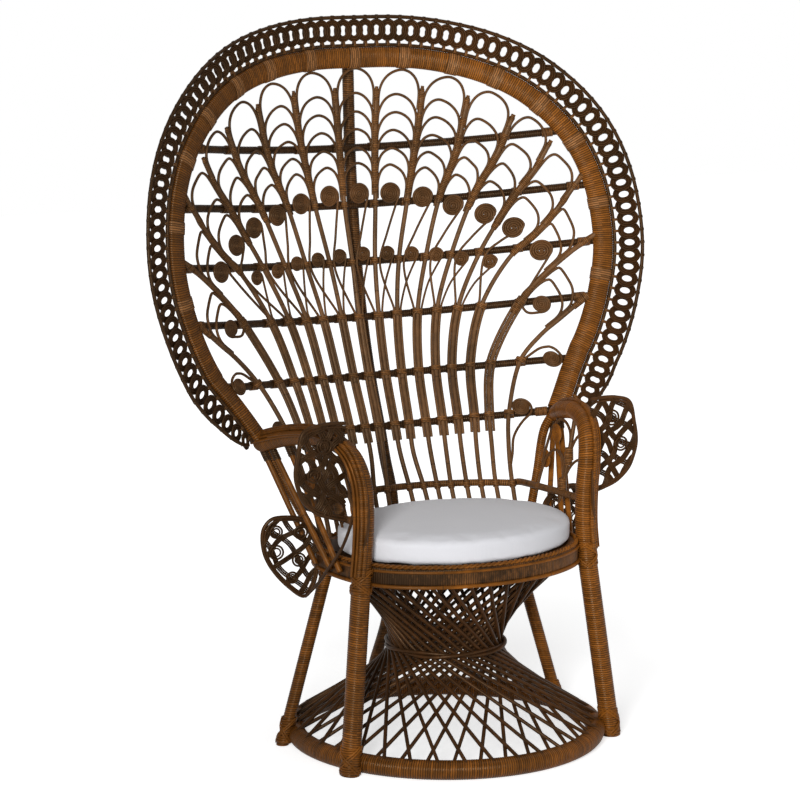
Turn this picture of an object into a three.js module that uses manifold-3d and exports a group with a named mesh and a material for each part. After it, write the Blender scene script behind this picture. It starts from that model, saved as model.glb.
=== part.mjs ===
// A rattan peacock chair: a tall hollow fan back with rows of arches and scrolls, a woven border,
// rolled arms, a round seat with a loose cushion, and an hourglass base of crossing reeds.
// Millimetres, Z up, the front faces -Y, the floor is Z = 0.

import * as THREE from 'three';
import { mergeVertices } from 'three/addons/utils/BufferGeometryUtils.js';
import Module from 'manifold-3d';

const wasm = await Module();
wasm.setup();

// Clearances
const JOIN_GAP = 0.3;
const RAIL_GAP = 0.9;

// Faces that stray less than this from one plane become one face
const FLATNESS = 0.1;

// Numbers of flat sides on round sections
const THIN_SIDES = 3;
const CANE_SIDES = 4;
const ROD_SIDES = 6;
const POST_SIDES = 8;

// Hollow back, measured across from the middle and along the slope up from the seat line
const SEAT_LINE = 414.4;
const RECLINE = THREE.MathUtils.degToRad(12.5);
const BACK_RADIUS = 745;
const SEAT_BACK_RADIUS = 430;
const RADIUS_FROM = 45;
const RADIUS_TO = 315;
const STRAIGHT_FROM = 340;
const BACK_DEPTHS = [
  [-60, 155], [0, 176], [61, 203], [140, 236], [200, 258], [305, 301], [427, 338],
  [545, 363], [665, 380], [785, 392], [915, 399], [1100, 400],
];

// Ribs: across the back where each crosses these lines, from the middle outwards
const RIB_LINES = [-25, 61, 140, 200, 303, 427, 542, 670];
const RIB_RUNS = [
  [30, 27, 20, 19, 20, 23, 27, 37],
  [62, 59, 50, 52, 57, 66, 82, 110],
  [89, 88, 88, 90, 96, 112, 142, 181],
  [117, 117, 122, 126, 134, 155, 197, 254],
  [147, 149, 154, 159, 169, 200, 257],
  [175, 177, 185, 193, 208, 249],
  [203, 205, 215, 223, 250],
  [230, 235, 247, 261, 309],
];
const RIB_TIPS = [
  [[43, 810], [49, 905]],
  [[140, 820], [151, 900]],
  [[219, 760], [246, 872]],
  [[300, 745], [333, 822]],
  [[301, 610], [338, 665], [376, 713], [402, 758]],
  [[322, 532], [370, 572], [413, 619], [462, 684]],
  [[325, 425], [366, 470], [432, 523], [482, 556]],
  [[359, 355], [400, 385], [452, 424]],
];
const RIB_WIDTH = 10;
const BUNDLE_WIDTH = 22;
const BUNDLE_TOP = 440;
const BUNDLE_FOOT = 182;
const BUNDLE_STEP = 2;
const PATH_SAMPLES = 240;
const SETTLING_TURNS = 6;

// Arches between neighbouring ribs: crowns across and along, from the middle outwards
const ARCH_CROWNS = [
  [[0, 958], [0, 905], [0, 865], [0, 827], [0, 787], [0, 754]],
  [[109, 950], [95, 898], [92, 859], [86, 821], [82, 782], [75, 747]],
  [[210, 927], [187, 880], [180, 842], [172, 804], [162, 768], [154, 735]],
  [[292, 887], [268, 831], [256, 785], [238, 750], [222, 713]],
  [[368, 823], [334, 769], [314, 729], [290, 692]],
  [[415, 737], [377, 683], [351, 651]],
  [[424, 618], [399, 589]],
  [[408, 492], [388, 468]],
];
const ARCH_WIDTH = 6;
const ARCH_STEPS = 6;
const ARCH_LAYER = -0.4;
const ARCH_CLEARANCE = 2.4;
const ARCH_DROP_SHARE = 0.72;
const ARCH_DROP_LEAST = 36;
const ARCH_RISE = [[1, 1], [0.5, 0.86], [0.13, 0.5]];
const ARCH_FALL = [[0.13, 0.5], [0.5, 0.86], [0.95, 1]];

// Scrolls: centre across and along, from the middle outwards
const LARGE_COILS = [
  [0, 690], [73, 687], [146, 673], [211, 650], [277, 625], [331, 589], [381, 534],
];
const SMALL_COILS = [[0, 558], [57, 556], [112, 551], [166, 545], [219, 531], [277, 519]];
const COIL_CANE = 5;
const LARGE_COIL = 40;
const SMALL_COIL = 25;
const COIL_THICKNESS = 6;
const COIL_SIDES = 10;
const STEM_STEPS = 6;
const SMALL_STEM_STEPS = 5;
const LARGE_BEND_SHARE = 0.4;
const SMALL_BEND_SHARE = 0.35;
const HOOK_BEND_SHARE = 0.2;
const SIDE_BEND_SHARE = 0.35;

// Side scrolls beside the outer ribs: centre across and along
const SIDE_COILS = [[366, 418], [369, 301], [286, 208]];

// Cross rails behind the ribs
const RAIL_LINES = [200, 305, 427, 543, 665, 787];
const RAIL_REACH = [343, 404, 464, 482, 468, 425];
const RAIL_WIDTH = 16;
const RAIL_SPAN = 60;

// Wrapped rim of the back: centre line from the middle down to the arm
const RIM_LINE = [
  [100, 977], [192, 961], [283, 928], [361, 876], [439, 784], [482, 680],
  [496, 543], [479, 443], [441, 345], [386, 261], [347, 199],
];
const RIM_CROWN = 980;
const RIM_WIDTH = 42;
const RIM_THICKNESS = 22;
const RIM_LAYER = -4;
const RIM_STEPS = 42;

// Woven border outside the rim
const EDGE_ROD = 8;
const EDGE_GAP = 1.2;
const BORDER_WIDTH = 68;
const BORDER_TRIM_SHARE = 0.018;
const BORDER_ROD = 8;
const BORDER_STRAND = 8;
const BORDER_LOOPS = 80;
const BORDER_TUCK = 1.7;
const BORDER_LIFT = 1.1;
const BORDER_CORNER_SHARE = 0.25;

// Round base
const HOOP_RADIUS = 310;
const HOOP_WIDTH = 38;
const HOOP_SEGMENTS = 28;
const REED_WIDTH = 5;
const REEDS_PER_LAYER = 32;
const REED_FOOT = 317;
const REED_FOOT_STEP = 14.5;
const WAIST_RADIUS = 114;
const WAIST_STEP = 12.5;
const WAIST_HEIGHT = 204;
const REED_TOP = 205;
const REED_TOP_STEP = 15;
const REED_TOP_STRETCH = 1.18;
const WAIST_BAND_HEIGHT = 14;
const WAIST_BAND_THICKNESS = 9;

// Seat ring and panel
const RING_UNDERSIDE = 370;
const RING_TOP = 412;
const RING_THICKNESS = 24;
const RING_CENTRE = -24;
const RING_LINE = [
  [0, -227], [112, -208], [178, -174], [214, -142], [236, -104], [250, -50], [254, 10],
  [250, 62], [236, 103], [203, 128], [160, 151], [90, 171], [0, 179],
];
const RING_SEGMENTS = 40;
const PANEL_THICKNESS = 8;

// Legs and posts: foot and upper end
const FRONT_POST_WIDTH = 38;
const POST_CUTTER_SHARE = 0.2;
const FRONT_POST_FOOT = [303, -161];
const ARM_START = [258, -127, 395];
const SIDE_LEG_WIDTH = 25;
const SIDE_LEG_FOOT = [328, 94];
const SIDE_LEG_TOP = [216, 101];
const POLE_WIDTH = 24;
const POLE_LINE = [[352, 0], [318, 77], [256, 196], [225, 330]];
const POLE_TOP = 940;

// Arms
const ARM_LINE = [
  [253, -127, 450], [252, -130, 520], [257, -130, 580], [267, -112, 625], [281, -75, 650],
  [296, -20, 658], [312, 45, 650], [328, 98, 637], [347, 143, 622],
];
const ARM_WIDTH = 36;
const ARM_STEPS = 14;
const ARM_POST_WIDTH = 18;
const ARM_POST_FOOT = [246, 84];
const ARM_POST_HEAD = [325, 153, 597];

// Struts outside each arm: upper and lower ends
const STRUTS = [
  [[336, 124, 622], [270, -15, 384]],
  [[320, 85, 636], [268, -53, 386]],
];
const WING_STRUT = [[345, 150, 617], [272, 49, 382]];
const STRUT_WIDTH = 12;

// Waist rail above the seat ring, from the middle of the back to the arm, where it climbs a little
const WAIST_RAIL_RISE = 70;
const WAIST_RAIL_HEIGHT = RING_TOP + WAIST_RAIL_RISE;
const WAIST_RAIL_WIDTH = 14;
const WAIST_RAIL_RUN = [
  [254, 146, 1], [258, 100, 4], [257, 40, 7], [256, -30, 10], [254, -108, 13],
];
const WAIST_RAIL_FRONT = WAIST_RAIL_RUN.map(([x, y, climb]) => [x, y, WAIST_RAIL_HEIGHT + climb]);

// Panel under the arm: stake and arches, given by depth and height
const STAKE_DEPTH = -32;
const ARM_ARCHES = [[26, 634, 0], [-74, 624, 0], [26, 571, 0], [-74, 566, 0]];
const STAKE_WIDTH = 10;
const ARM_ARCH_DROP = 55;
const ARM_ARCH_REACH_SHARE = 0.55;
const ARM_ARCH_RISE_SHARE = 0.35;
const ARM_ARCH_FALL_SHARE = 0.8;

// Rolled wings of openwork beside the arms: outlines and openings across and up
const UPPER_WING = [
  [272, 692], [325, 698], [370, 686], [388, 645], [391, 602], [380, 558], [345, 522], [274, 503],
];
const UPPER_OPENINGS = [
  [310, 668], [350, 664], [330, 632], [366, 628], [300, 600],
  [342, 594], [364, 580], [318, 560], [346, 548],
];
const UPPER_WING_DEPTH = -108;
const LOWER_WING = [
  [274, 452], [308, 477], [350, 476], [376, 446], [373, 405],
  [350, 360], [318, 326], [290, 318], [268, 360], [262, 410],
];
const LOWER_OPENINGS = [
  [316, 454], [350, 446], [332, 420], [356, 408], [306, 416],
  [334, 384], [310, 378], [290, 352], [312, 346],
];
const LOWER_WING_DEPTH = 58;
const LOWER_WING_YAW = 0.2;
const WING_THICKNESS = 7;
const WING_STEPS = 16;
const OPENING_SIZE = 12;
const OPENING_SIDES = 4;

// Cushion, a little narrower than the middle of the seat ring
const CUSHION_INSET = 15;
const SEAT_REACH = Math.max(...RING_LINE.map(([across]) => across));
const CUSHION_WIDTH = 2 * (SEAT_REACH - CUSHION_INSET);
const CUSHION_DEPTH = 392;
const CUSHION_BACK = 158;
const CUSHION_CENTRE = CUSHION_BACK - CUSHION_DEPTH / 2;
const CUSHION_EDGE = 50;
const CUSHION_CROWN = 64;
const CUSHION_SEGMENTS = 30;
const CUSHION_SIDE_SHARES = [
  [0, 0], [0.94, 0], [0.985, 0.12], [1, 0.24], [0.982, 0.5], [0.99, 0.78], [0.96, 0.96],
];
const CUSHION_CROWN_SHARES = [[0.84, 0.3], [0.6, 0.72], [0.3, 0.94], [0, 1]];

const UP = new THREE.Vector3(0, 0, 1);

// Reads a smooth value out of a table of [position, value] pairs.
function smooth(table, position) {
  const last = table.length - 1;
  let i = table.findIndex((row) => row[0] > position) - 1;
  if (i < 0) {
    i = position < table[0][0] ? 0 : last - 1;
  }
  const slope = (a, b) => (table[b][1] - table[a][1]) / (table[b][0] - table[a][0]);
  const span = table[i + 1][0] - table[i][0];
  const t = (position - table[i][0]) / span;
  const start = slope(Math.max(i - 1, 0), i + 1) * span;
  const end = slope(i, Math.min(i + 2, last)) * span;
  const rise = table[i + 1][1] - table[i][1];
  return table[i][1] + t * (start + t * (3 * rise - 2 * start - end + t * (start + end - 2 * rise)));
}

// A spot on the hollow back: curved across, straight on past its sides, and leaning back.
function backSpot(across, along) {
  const share = THREE.MathUtils.clamp((along - RADIUS_FROM) / (RADIUS_TO - RADIUS_FROM), 0, 1);
  const radius = 1 / THREE.MathUtils.lerp(1 / SEAT_BACK_RADIUS, 1 / BACK_RADIUS, share);
  const wide = Math.abs(across);
  const reach = Math.min(wide, STRAIGHT_FROM);
  const root = Math.sqrt(radius * radius - reach * reach);
  const forward = radius - root + ((wide - reach) * reach) / root;
  return new THREE.Vector3(
    across,
    smooth(BACK_DEPTHS, along) - forward * Math.cos(RECLINE),
    SEAT_LINE + along * Math.cos(RECLINE) + forward * Math.sin(RECLINE),
  );
}

// The way the back faces at a spot, towards the sitter.
function backFacing(across, along) {
  const right = backSpot(across + 1, along).sub(backSpot(across - 1, along));
  const up = backSpot(across, along + 1).sub(backSpot(across, along - 1));
  return right.cross(up).normalize();
}

// Half the width across flats of a many-sided section with the area of a round one.
function halfFlat(sides, width) {
  return (width / 2) * Math.sqrt(Math.PI / (sides * Math.tan(Math.PI / sides)));
}

// A many-sided section with a flat at its back.
function section(sides, width) {
  const reach = halfFlat(sides, width) / Math.cos(Math.PI / sides);
  const outline = new THREE.Shape();
  for (let i = 0; i < sides; i += 1) {
    const turn = -Math.PI / 2 - Math.PI / sides + (i * 2 * Math.PI) / sides;
    const method = i ? 'lineTo' : 'moveTo';
    outline[method](reach * Math.cos(turn), reach * Math.sin(turn));
  }
  return outline;
}

// A flat strip section with eased corners.
function strip(width, thickness, ease) {
  const x = width / 2;
  const y = thickness / 2;
  const outline = new THREE.Shape();
  outline.moveTo(-x + ease, -y);
  outline.lineTo(x - ease, -y);
  outline.lineTo(x, 0);
  outline.lineTo(x - ease, y);
  outline.lineTo(-x + ease, y);
  outline.lineTo(-x, 0);
  return outline;
}

// Keeps only positions and joins the corners that coincide.
function tidy(geometry) {
  geometry.deleteAttribute('normal');
  geometry.deleteAttribute('uv');
  return mergeVertices(geometry);
}

// Bends a straight extrusion so that its layers lie in the frames given.
function sweep(frames, outline) {
  const steps = frames.length - 1;
  const bar = new THREE.ExtrudeGeometry(outline, { depth: steps, steps, bevelEnabled: false });
  const position = bar.getAttribute('position');
  const spot = new THREE.Vector3();
  for (let i = 0; i < position.count; i += 1) {
    const { at, side, out, wide = 1 } = frames[Math.round(position.getZ(i))];
    spot.copy(at);
    spot.addScaledVector(side, position.getX(i) * wide);
    spot.addScaledVector(out, position.getY(i));
    position.setXYZ(i, spot.x, spot.y, spot.z);
  }
  return tidy(bar);
}

// Frames square to a run of spots, each turned to face the way given for it.
function framesAlong(spots, facings) {
  const last = spots.length - 1;
  return spots.map((at, i) => {
    const ahead = spots[Math.min(i + 1, last)].clone().sub(spots[Math.max(i - 1, 0)]).normalize();
    const side = facings[i].clone().cross(ahead).normalize();
    return { at, side, out: ahead.clone().cross(side) };
  });
}

// Frames along the back through points given as [across, along, layer in front of the ribs' middle].
function backFrames(points, steps, layer = 0, trim = 0) {
  const places = points.map(([across, along, lift = 0]) => new THREE.Vector3(across, along, lift));
  const curve = new THREE.CatmullRomCurve3(places, false, 'centripetal');
  const spots = [];
  const facings = [];
  for (let i = 0; i <= steps; i += 1) {
    const { x, y, z } = curve.getPointAt(THREE.MathUtils.lerp(trim, 1 - trim, i / steps));
    const facing = backFacing(x, y);
    spots.push(backSpot(x, y).addScaledVector(facing, layer + z));
    facings.push(facing);
  }
  return framesAlong(spots, facings);
}

// Frames along a free curve, facing one way throughout.
function freeFrames(points, steps, facing) {
  const curve = new THREE.CatmullRomCurve3(points.map((p) => new THREE.Vector3(...p)), false, 'centripetal');
  const spots = curve.getSpacedPoints(steps);
  return framesAlong(spots, spots.map(() => facing));
}

function toSolid(geometry) {
  const vertProperties = new Float32Array(geometry.getAttribute('position').array);
  const triVerts = new Uint32Array(geometry.getIndex().array);
  return new wasm.Manifold(new wasm.Mesh({ numProp: 3, vertProperties, triVerts }));
}

function fromSolid(solid) {
  const { numProp, vertProperties, triVerts } = solid.getMesh();
  const geometry = new THREE.BufferGeometry();
  geometry.setAttribute('position', new THREE.BufferAttribute(new Float32Array(vertProperties), numProp));
  geometry.setIndex(new THREE.BufferAttribute(new Uint32Array(triVerts), 1));
  return geometry;
}

function fuse(geometries) {
  const whole = geometries.map(toSolid).reduce((sum, next) => sum.add(next));
  return fromSolid(whole.asOriginal().simplify(FLATNESS));
}

function cut(geometry, cutters) {
  const rest = cutters.reduce((whole, cutter) => whole.subtract(toSolid(cutter)), toSolid(geometry));
  return fromSolid(rest.asOriginal().simplify(FLATNESS));
}

// The same piece on the other side of the chair.
function mirrored(geometry) {
  const copy = geometry.clone();
  copy.scale(-1, 1, 1);
  const index = copy.getIndex();
  for (let i = 0; i < index.count; i += 3) {
    const first = index.getX(i);
    index.setX(i, index.getX(i + 2));
    index.setX(i + 2, first);
  }
  return copy;
}

// Everything below the top of the seat ring, for trimming what stands on it.
function belowSeat() {
  const size = 2 * BACK_RADIUS;
  const block = new THREE.BoxGeometry(size, size, size);
  block.translate(0, 0, RING_TOP + JOIN_GAP - size / 2);
  return tidy(block);
}

// Rim of the back: the path runs from the left arm over the crown to the right arm.
function rimPoints() {
  const left = RIM_LINE.map(([across, along]) => [-across, along]).reverse();
  return [...left, [0, RIM_CROWN], ...RIM_LINE];
}

function rimFrames(steps, trim) {
  return backFrames(rimPoints(), steps, RIM_LAYER, trim);
}

function backRim() {
  return sweep(rimFrames(RIM_STEPS), strip(RIM_WIDTH, RIM_THICKNESS, RIM_THICKNESS / 3));
}

// A thicker rim that leaves the joining gap round the real one.
function rimCutter() {
  const thick = strip(RIM_WIDTH + 2 * JOIN_GAP, RIM_THICKNESS * 2, 0);
  return sweep(rimFrames(RIM_STEPS), thick);
}

// A run along the border at a fixed distance outside the rim's centre line.
function borderFrames(offsets, layer) {
  const frames = rimFrames(offsets.length - 1, BORDER_TRIM_SHARE);
  const spots = frames.map(({ at, side, out }, i) => (
    at.clone().addScaledVector(side, offsets[i]).addScaledVector(out, layer)
  ));
  return framesAlong(spots, frames.map(({ out }) => out));
}

function borderOuterRod() {
  const offset = (RIM_WIDTH - BORDER_ROD) / 2 + BORDER_WIDTH;
  return sweep(borderFrames(new Array(RIM_STEPS + 1).fill(offset), 0), section(CANE_SIDES, BORDER_ROD));
}

function borderInnerRod() {
  const offset = RIM_WIDTH / 2 + EDGE_GAP + halfFlat(CANE_SIDES, EDGE_ROD);
  return sweep(borderFrames(new Array(RIM_STEPS + 1).fill(offset), 0), section(CANE_SIDES, EDGE_ROD));
}

// One of the two strands of the border: it runs in, across, out and across again, loop after loop.
function borderStrand(phase) {
  const reach = halfFlat(CANE_SIDES, EDGE_ROD) * 2 + RIM_WIDTH / 2 + EDGE_GAP + 2 * JOIN_GAP;
  const half = halfFlat(THIN_SIDES, BORDER_STRAND);
  const wing = half * Math.tan(Math.PI / THIN_SIDES);
  const inner = reach + wing - BORDER_TUCK;
  const rod = BORDER_ROD / 2 + halfFlat(CANE_SIDES, BORDER_ROD);
  const outer = RIM_WIDTH / 2 + BORDER_WIDTH - rod - EDGE_GAP - wing + BORDER_TUCK;
  const frames = rimFrames(2 * BORDER_LOOPS, BORDER_TRIM_SHARE);
  const flip = phase ? -1 : 1;
  const spots = [];
  const facings = [];
  for (let i = 0; i <= BORDER_LOOPS; i += 1) {
    const isOut = (i + phase) % 2 === 0;
    const { at, side, out } = frames[2 * i];
    const near = frames[Math.max(2 * i - 1, 0)].at;
    const far = frames[Math.min(2 * i + 1, 2 * BORDER_LOOPS)].at;
    [[near, isOut ? inner : outer], [far, isOut ? outer : inner]].forEach(([pull, offset]) => {
      const spot = at.clone().lerp(pull, BORDER_CORNER_SHARE);
      spots.push(spot.addScaledVector(side, offset).addScaledVector(out, flip * (half + BORDER_LIFT)));
      facings.push(out.clone().multiplyScalar(flip));
    });
  }
  return sweep(framesAlong(spots, facings), section(THIN_SIDES, BORDER_STRAND));
}

// The path of a rib, from under the seat's top up to its tip.
function ribPoints(number) {
  const run = RIB_RUNS[number].map((across, i) => [across, RIB_LINES[i]]);
  return [...run, ...RIB_TIPS[number]];
}

// Where a rib passes a given line along the back.
function ribAcross(number, along) {
  return smooth(ribPoints(number).map(([across, line]) => [line, across]), along);
}

// The line along the back where a rib passes a given height.
function lineAtHeight(number, height) {
  let line = (height - SEAT_LINE) / Math.cos(RECLINE);
  for (let i = 0; i < SETTLING_TURNS; i += 1) {
    line += height - backSpot(ribAcross(number, line), line).z;
  }
  return line;
}

// The main cane, widened where two thin canes are bound to its sides.
function ribSpine(number) {
  const tip = ribPoints(number).at(-1)[1];
  const rails = RAIL_LINES.filter((line) => line < tip - RIB_WIDTH);
  const ends = [BUNDLE_FOOT, BUNDLE_TOP].flatMap((line) => [line, line + BUNDLE_STEP]);
  const fixed = [RIB_LINES[0], lineAtHeight(number, WAIST_RAIL_HEIGHT), ...rails, ...ends, tip];
  const between = rails.map((line, i) => (line + (rails[i + 1] ?? tip)) / 2);
  const apart = (line) => line > BUNDLE_TOP && fixed.every((other) => Math.abs(line - other) > RIB_WIDTH);
  const lines = [...fixed, ...between.filter(apart)].sort((a, b) => a - b);
  const rows = lines.map((line) => [ribAcross(number, line), line]);
  const isBound = (line) => line > BUNDLE_FOOT && line <= BUNDLE_TOP;
  const frames = framesAlong(rows.map((row) => backSpot(...row)), rows.map((row) => backFacing(...row)));
  frames.forEach((frame, i) => {
    frame.wide = isBound(lines[i]) ? BUNDLE_WIDTH / RIB_WIDTH : 1;
  });
  return sweep(frames, section(CANE_SIDES, RIB_WIDTH));
}

// Evenly spaced places along a rib on one side of the chair.
function ribPath(number, side) {
  const places = ribPoints(number).map(([across, along]) => new THREE.Vector2(side * across, along));
  return new THREE.SplineCurve(places).getSpacedPoints(PATH_SAMPLES);
}

// Measures down a rib's path from the place nearest to a crown.
function downFrom(crown, path) {
  const spacing = path[0].distanceTo(path[1]);
  const nearer = (best, spot, i) => (spot.distanceTo(crown) < path[best].distanceTo(crown) ? i : best);
  const level = path.reduce(nearer, 0);
  return (distance) => path[Math.max(level - Math.round(distance / spacing), 0)].clone();
}

// One arch: it springs from its own rib, rises to the crown and comes down beside the next rib.
function arch(ownPath, nextPath, place) {
  const crown = new THREE.Vector2(...place);
  const own = downFrom(crown, ownPath);
  const next = downFrom(crown, nextPath);
  const middle = own(0).lerp(next(0), 0.5);
  const drop = Math.max(own(0).distanceTo(next(0)) * ARCH_DROP_SHARE, ARCH_DROP_LEAST);
  const beside = halfFlat(CANE_SIDES, RIB_WIDTH) + ARCH_CLEARANCE
    + halfFlat(THIN_SIDES, ARCH_WIDTH) * Math.tan(Math.PI / THIN_SIDES);
  const turn = Math.sign(next(0).x - own(0).x);
  const spot = (onNext, fall, reach) => {
    const [ownSide, nextSide] = [own(fall * drop), next(fall * drop)];
    const centre = ownSide.clone().lerp(nextSide, 0.5).sub(middle).add(crown);
    const ahead = nextSide.clone().sub(next(fall * drop + RIB_WIDTH)).setLength(turn * beside);
    const clear = new THREE.Vector2(nextSide.x - ahead.y, nextSide.y + ahead.x);
    return centre.lerp(onNext ? clear : ownSide, reach).toArray();
  };
  const points = [
    ...ARCH_RISE.map(([fall, reach]) => spot(false, fall, reach)),
    place,
    ...ARCH_FALL.map(([fall, reach]) => spot(true, fall, reach)),
  ];
  return sweep(backFrames(points, ARCH_STEPS, ARCH_LAYER), section(THIN_SIDES, ARCH_WIDTH));
}

// A wound scroll as a low disc standing on the back, its rim eased.
function coil([across, along], width, layer) {
  const radius = width / 2;
  const half = COIL_THICKNESS / 2;
  const outline = [
    new THREE.Vector2(0, -half),
    new THREE.Vector2(radius, -half),
    new THREE.Vector2(radius, half / 2),
    new THREE.Vector2(0, half),
  ];
  const disc = new THREE.LatheGeometry(outline, COIL_SIDES);
  const out = backFacing(across, along);
  disc.applyQuaternion(new THREE.Quaternion().setFromUnitVectors(new THREE.Vector3(0, 1, 0), out));
  const spot = backSpot(across, along).addScaledVector(out, layer);
  disc.translate(spot.x, spot.y, spot.z);
  return tidy(disc);
}

// The cane of a large scroll: out of one bundle, over to the rib on its left, up to the scroll's right side.
function largeCoil(place, startRib, overRib) {
  const front = halfFlat(CANE_SIDES, RIB_WIDTH) + 2 * JOIN_GAP;
  const [across, along] = place;
  const right = across + (LARGE_COIL - COIL_CANE) / 2;
  const start = BUNDLE_TOP;
  const over = RAIL_LINES[3];
  const crossing = overRib ? [[overRib(over) + RIB_WIDTH, over - RIB_WIDTH]] : [];
  const points = [[startRib(start), start], ...crossing, [right, along]];
  if (overRib) {
    const bend = THREE.MathUtils.lerp(overRib(over) + RIB_WIDTH, right, LARGE_BEND_SHARE);
    points.splice(2, 0, [bend, (over + along) / 2]);
  }
  const layer = front + JOIN_GAP + halfFlat(THIN_SIDES, COIL_CANE);
  const stem = sweep(backFrames(points, STEM_STEPS, layer), section(THIN_SIDES, COIL_CANE));
  return fuse([stem, coil(place, LARGE_COIL, front + COIL_THICKNESS / 2)]);
}

// The thin cane and small scroll that rise from a rib's own bundle.
function smallCoil(place, rib) {
  const [across, along] = place;
  const right = across + SMALL_COIL / 2 - COIL_CANE / 2;
  const start = BUNDLE_TOP - RIB_WIDTH;
  const foot = rib(start) + BUNDLE_WIDTH / 4;
  const points = [
    [foot, start],
    [THREE.MathUtils.lerp(foot, right, SMALL_BEND_SHARE), (start + along) / 2],
    [right, along],
  ];
  const stem = sweep(backFrames(points, SMALL_STEM_STEPS), section(THIN_SIDES, COIL_CANE));
  return [stem, coil(place, SMALL_COIL, 0)];
}

// A side scroll with the hooked cane that carries it from its rib.
function sideCoil(place, rib, hooked) {
  const [across, along] = place;
  const low = along - LARGE_COIL;
  const foot = hooked ? along + RIB_WIDTH : low - LARGE_COIL;
  const bend = hooked ? HOOK_BEND_SHARE : SIDE_BEND_SHARE;
  const points = [
    [rib(foot), foot],
    [THREE.MathUtils.lerp(rib(low), across, bend), low + LARGE_COIL / 3],
    [across, along - LARGE_COIL / 2 + COIL_CANE / 2],
  ];
  const hook = sweep(backFrames(points, SMALL_STEM_STEPS), section(THIN_SIDES, ARCH_WIDTH));
  return [hook, coil(place, LARGE_COIL, 0)];
}

const trimmers = [rimCutter(), belowSeat()];

// One rib of the back with the arches and scrolls that it carries. The side is 1 right, -1 left.
function rib(number, side) {
  const here = (along) => side * ribAcross(number, along);
  const path = ribPath(number, side);
  const spine = ribSpine(number);
  const parts = [side > 0 ? spine : mirrored(spine)];
  ARCH_CROWNS[number + 1]?.forEach(([across, along]) => {
    parts.push(arch(path, ribPath(number + 1, side), [side * across, along]));
  });
  if (number === 0 && side > 0) {
    ARCH_CROWNS[0].forEach((crown) => parts.push(arch(path, ribPath(0, -side), crown)));
  }
  const smallPlace = SMALL_COILS[side > 0 ? number + 1 : number];
  if (smallPlace) {
    parts.push(...smallCoil([side * smallPlace[0], smallPlace[1]], here));
  }
  const hooked = number === RIB_RUNS.length - 2;
  const sidePlaces = [...(hooked ? SIDE_COILS.slice(0, 1) : [])];
  if (number === RIB_RUNS.length - 1) {
    sidePlaces.push(...SIDE_COILS.slice(1));
  }
  sidePlaces.forEach(([across, along]) => {
    parts.push(...sideCoil([side * across, along], here, hooked));
  });
  return cut(fuse(parts), trimmers);
}

// A rail across the back, its stations at the ribs that it carries.
function railSweep(number, margin) {
  const line = RAIL_LINES[number];
  const reach = RAIL_REACH[number];
  const crossed = RIB_RUNS.map((run, i) => i).filter((i) => ribPoints(i).at(-1)[1] > line);
  const held = [0, ...crossed.map((i) => ribAcross(i, line)), reach];
  const isWide = (x, i) => held[i + 1] - held[i] > RAIL_SPAN;
  const middles = held.slice(1).map((x, i) => (x + held[i]) / 2).filter(isWide);
  const half = [...held, ...middles].sort((a, b) => a - b);
  const across = [...half.slice(1).reverse().map((x) => -x), ...half];
  const layer = -(halfFlat(CANE_SIDES, RIB_WIDTH) + RAIL_GAP + halfFlat(CANE_SIDES, RAIL_WIDTH));
  const facings = across.map((x) => backFacing(x, line));
  const spots = across.map((x, i) => backSpot(x, line).addScaledVector(facings[i], layer));
  return sweep(framesAlong(spots, facings), section(CANE_SIDES, RAIL_WIDTH + 2 * margin));
}

function rail(number) {
  return cut(railSweep(number, 0), [rimCutter()]);
}

// The rail that runs behind the ribs and on round both sides of the seat to the arms.
function waistRail() {
  const layer = halfFlat(CANE_SIDES, RIB_WIDTH) + JOIN_GAP + WAIST_RAIL_WIDTH / 2;
  const behind = RIB_RUNS.map((run, i) => {
    const line = lineAtHeight(i, WAIST_RAIL_HEIGHT);
    const facing = backFacing(ribAcross(i, line), line).setZ(0);
    return backSpot(ribAcross(i, line), line).addScaledVector(facing, -layer / facing.lengthSq());
  });
  const front = WAIST_RAIL_FRONT.map((place) => new THREE.Vector3(...place));
  const right = [...behind.map((spot) => spot.setZ(WAIST_RAIL_HEIGHT)), ...front];
  const left = right.map(({ x, y, z }) => new THREE.Vector3(-x, y, z)).reverse();
  const spots = [...left, ...right];
  const frames = framesAlong(spots, spots.map(() => UP));
  return cut(sweep(frames, section(ROD_SIDES, WAIST_RAIL_WIDTH)), [armCutter(1), armCutter(-1)]);
}

// The floor hoop, flat where it stands.
function hoopProfile(margin) {
  const half = HOOP_WIDTH / 2 + margin;
  const ease = half * Math.tan(Math.PI / POST_SIDES);
  const middle = HOOP_WIDTH / 2;
  return [
    [-ease, -half], [ease, -half], [half, -ease], [half, ease],
    [ease, half], [-ease, half], [-half, ease], [-half, -ease], [-ease, -half],
  ].map(([x, y]) => new THREE.Vector2(HOOP_RADIUS + x, middle + y));
}

function floorHoop(margin = 0) {
  const hoop = new THREE.LatheGeometry(hoopProfile(margin), HOOP_SEGMENTS);
  hoop.rotateX(Math.PI / 2);
  return tidy(hoop);
}

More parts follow.
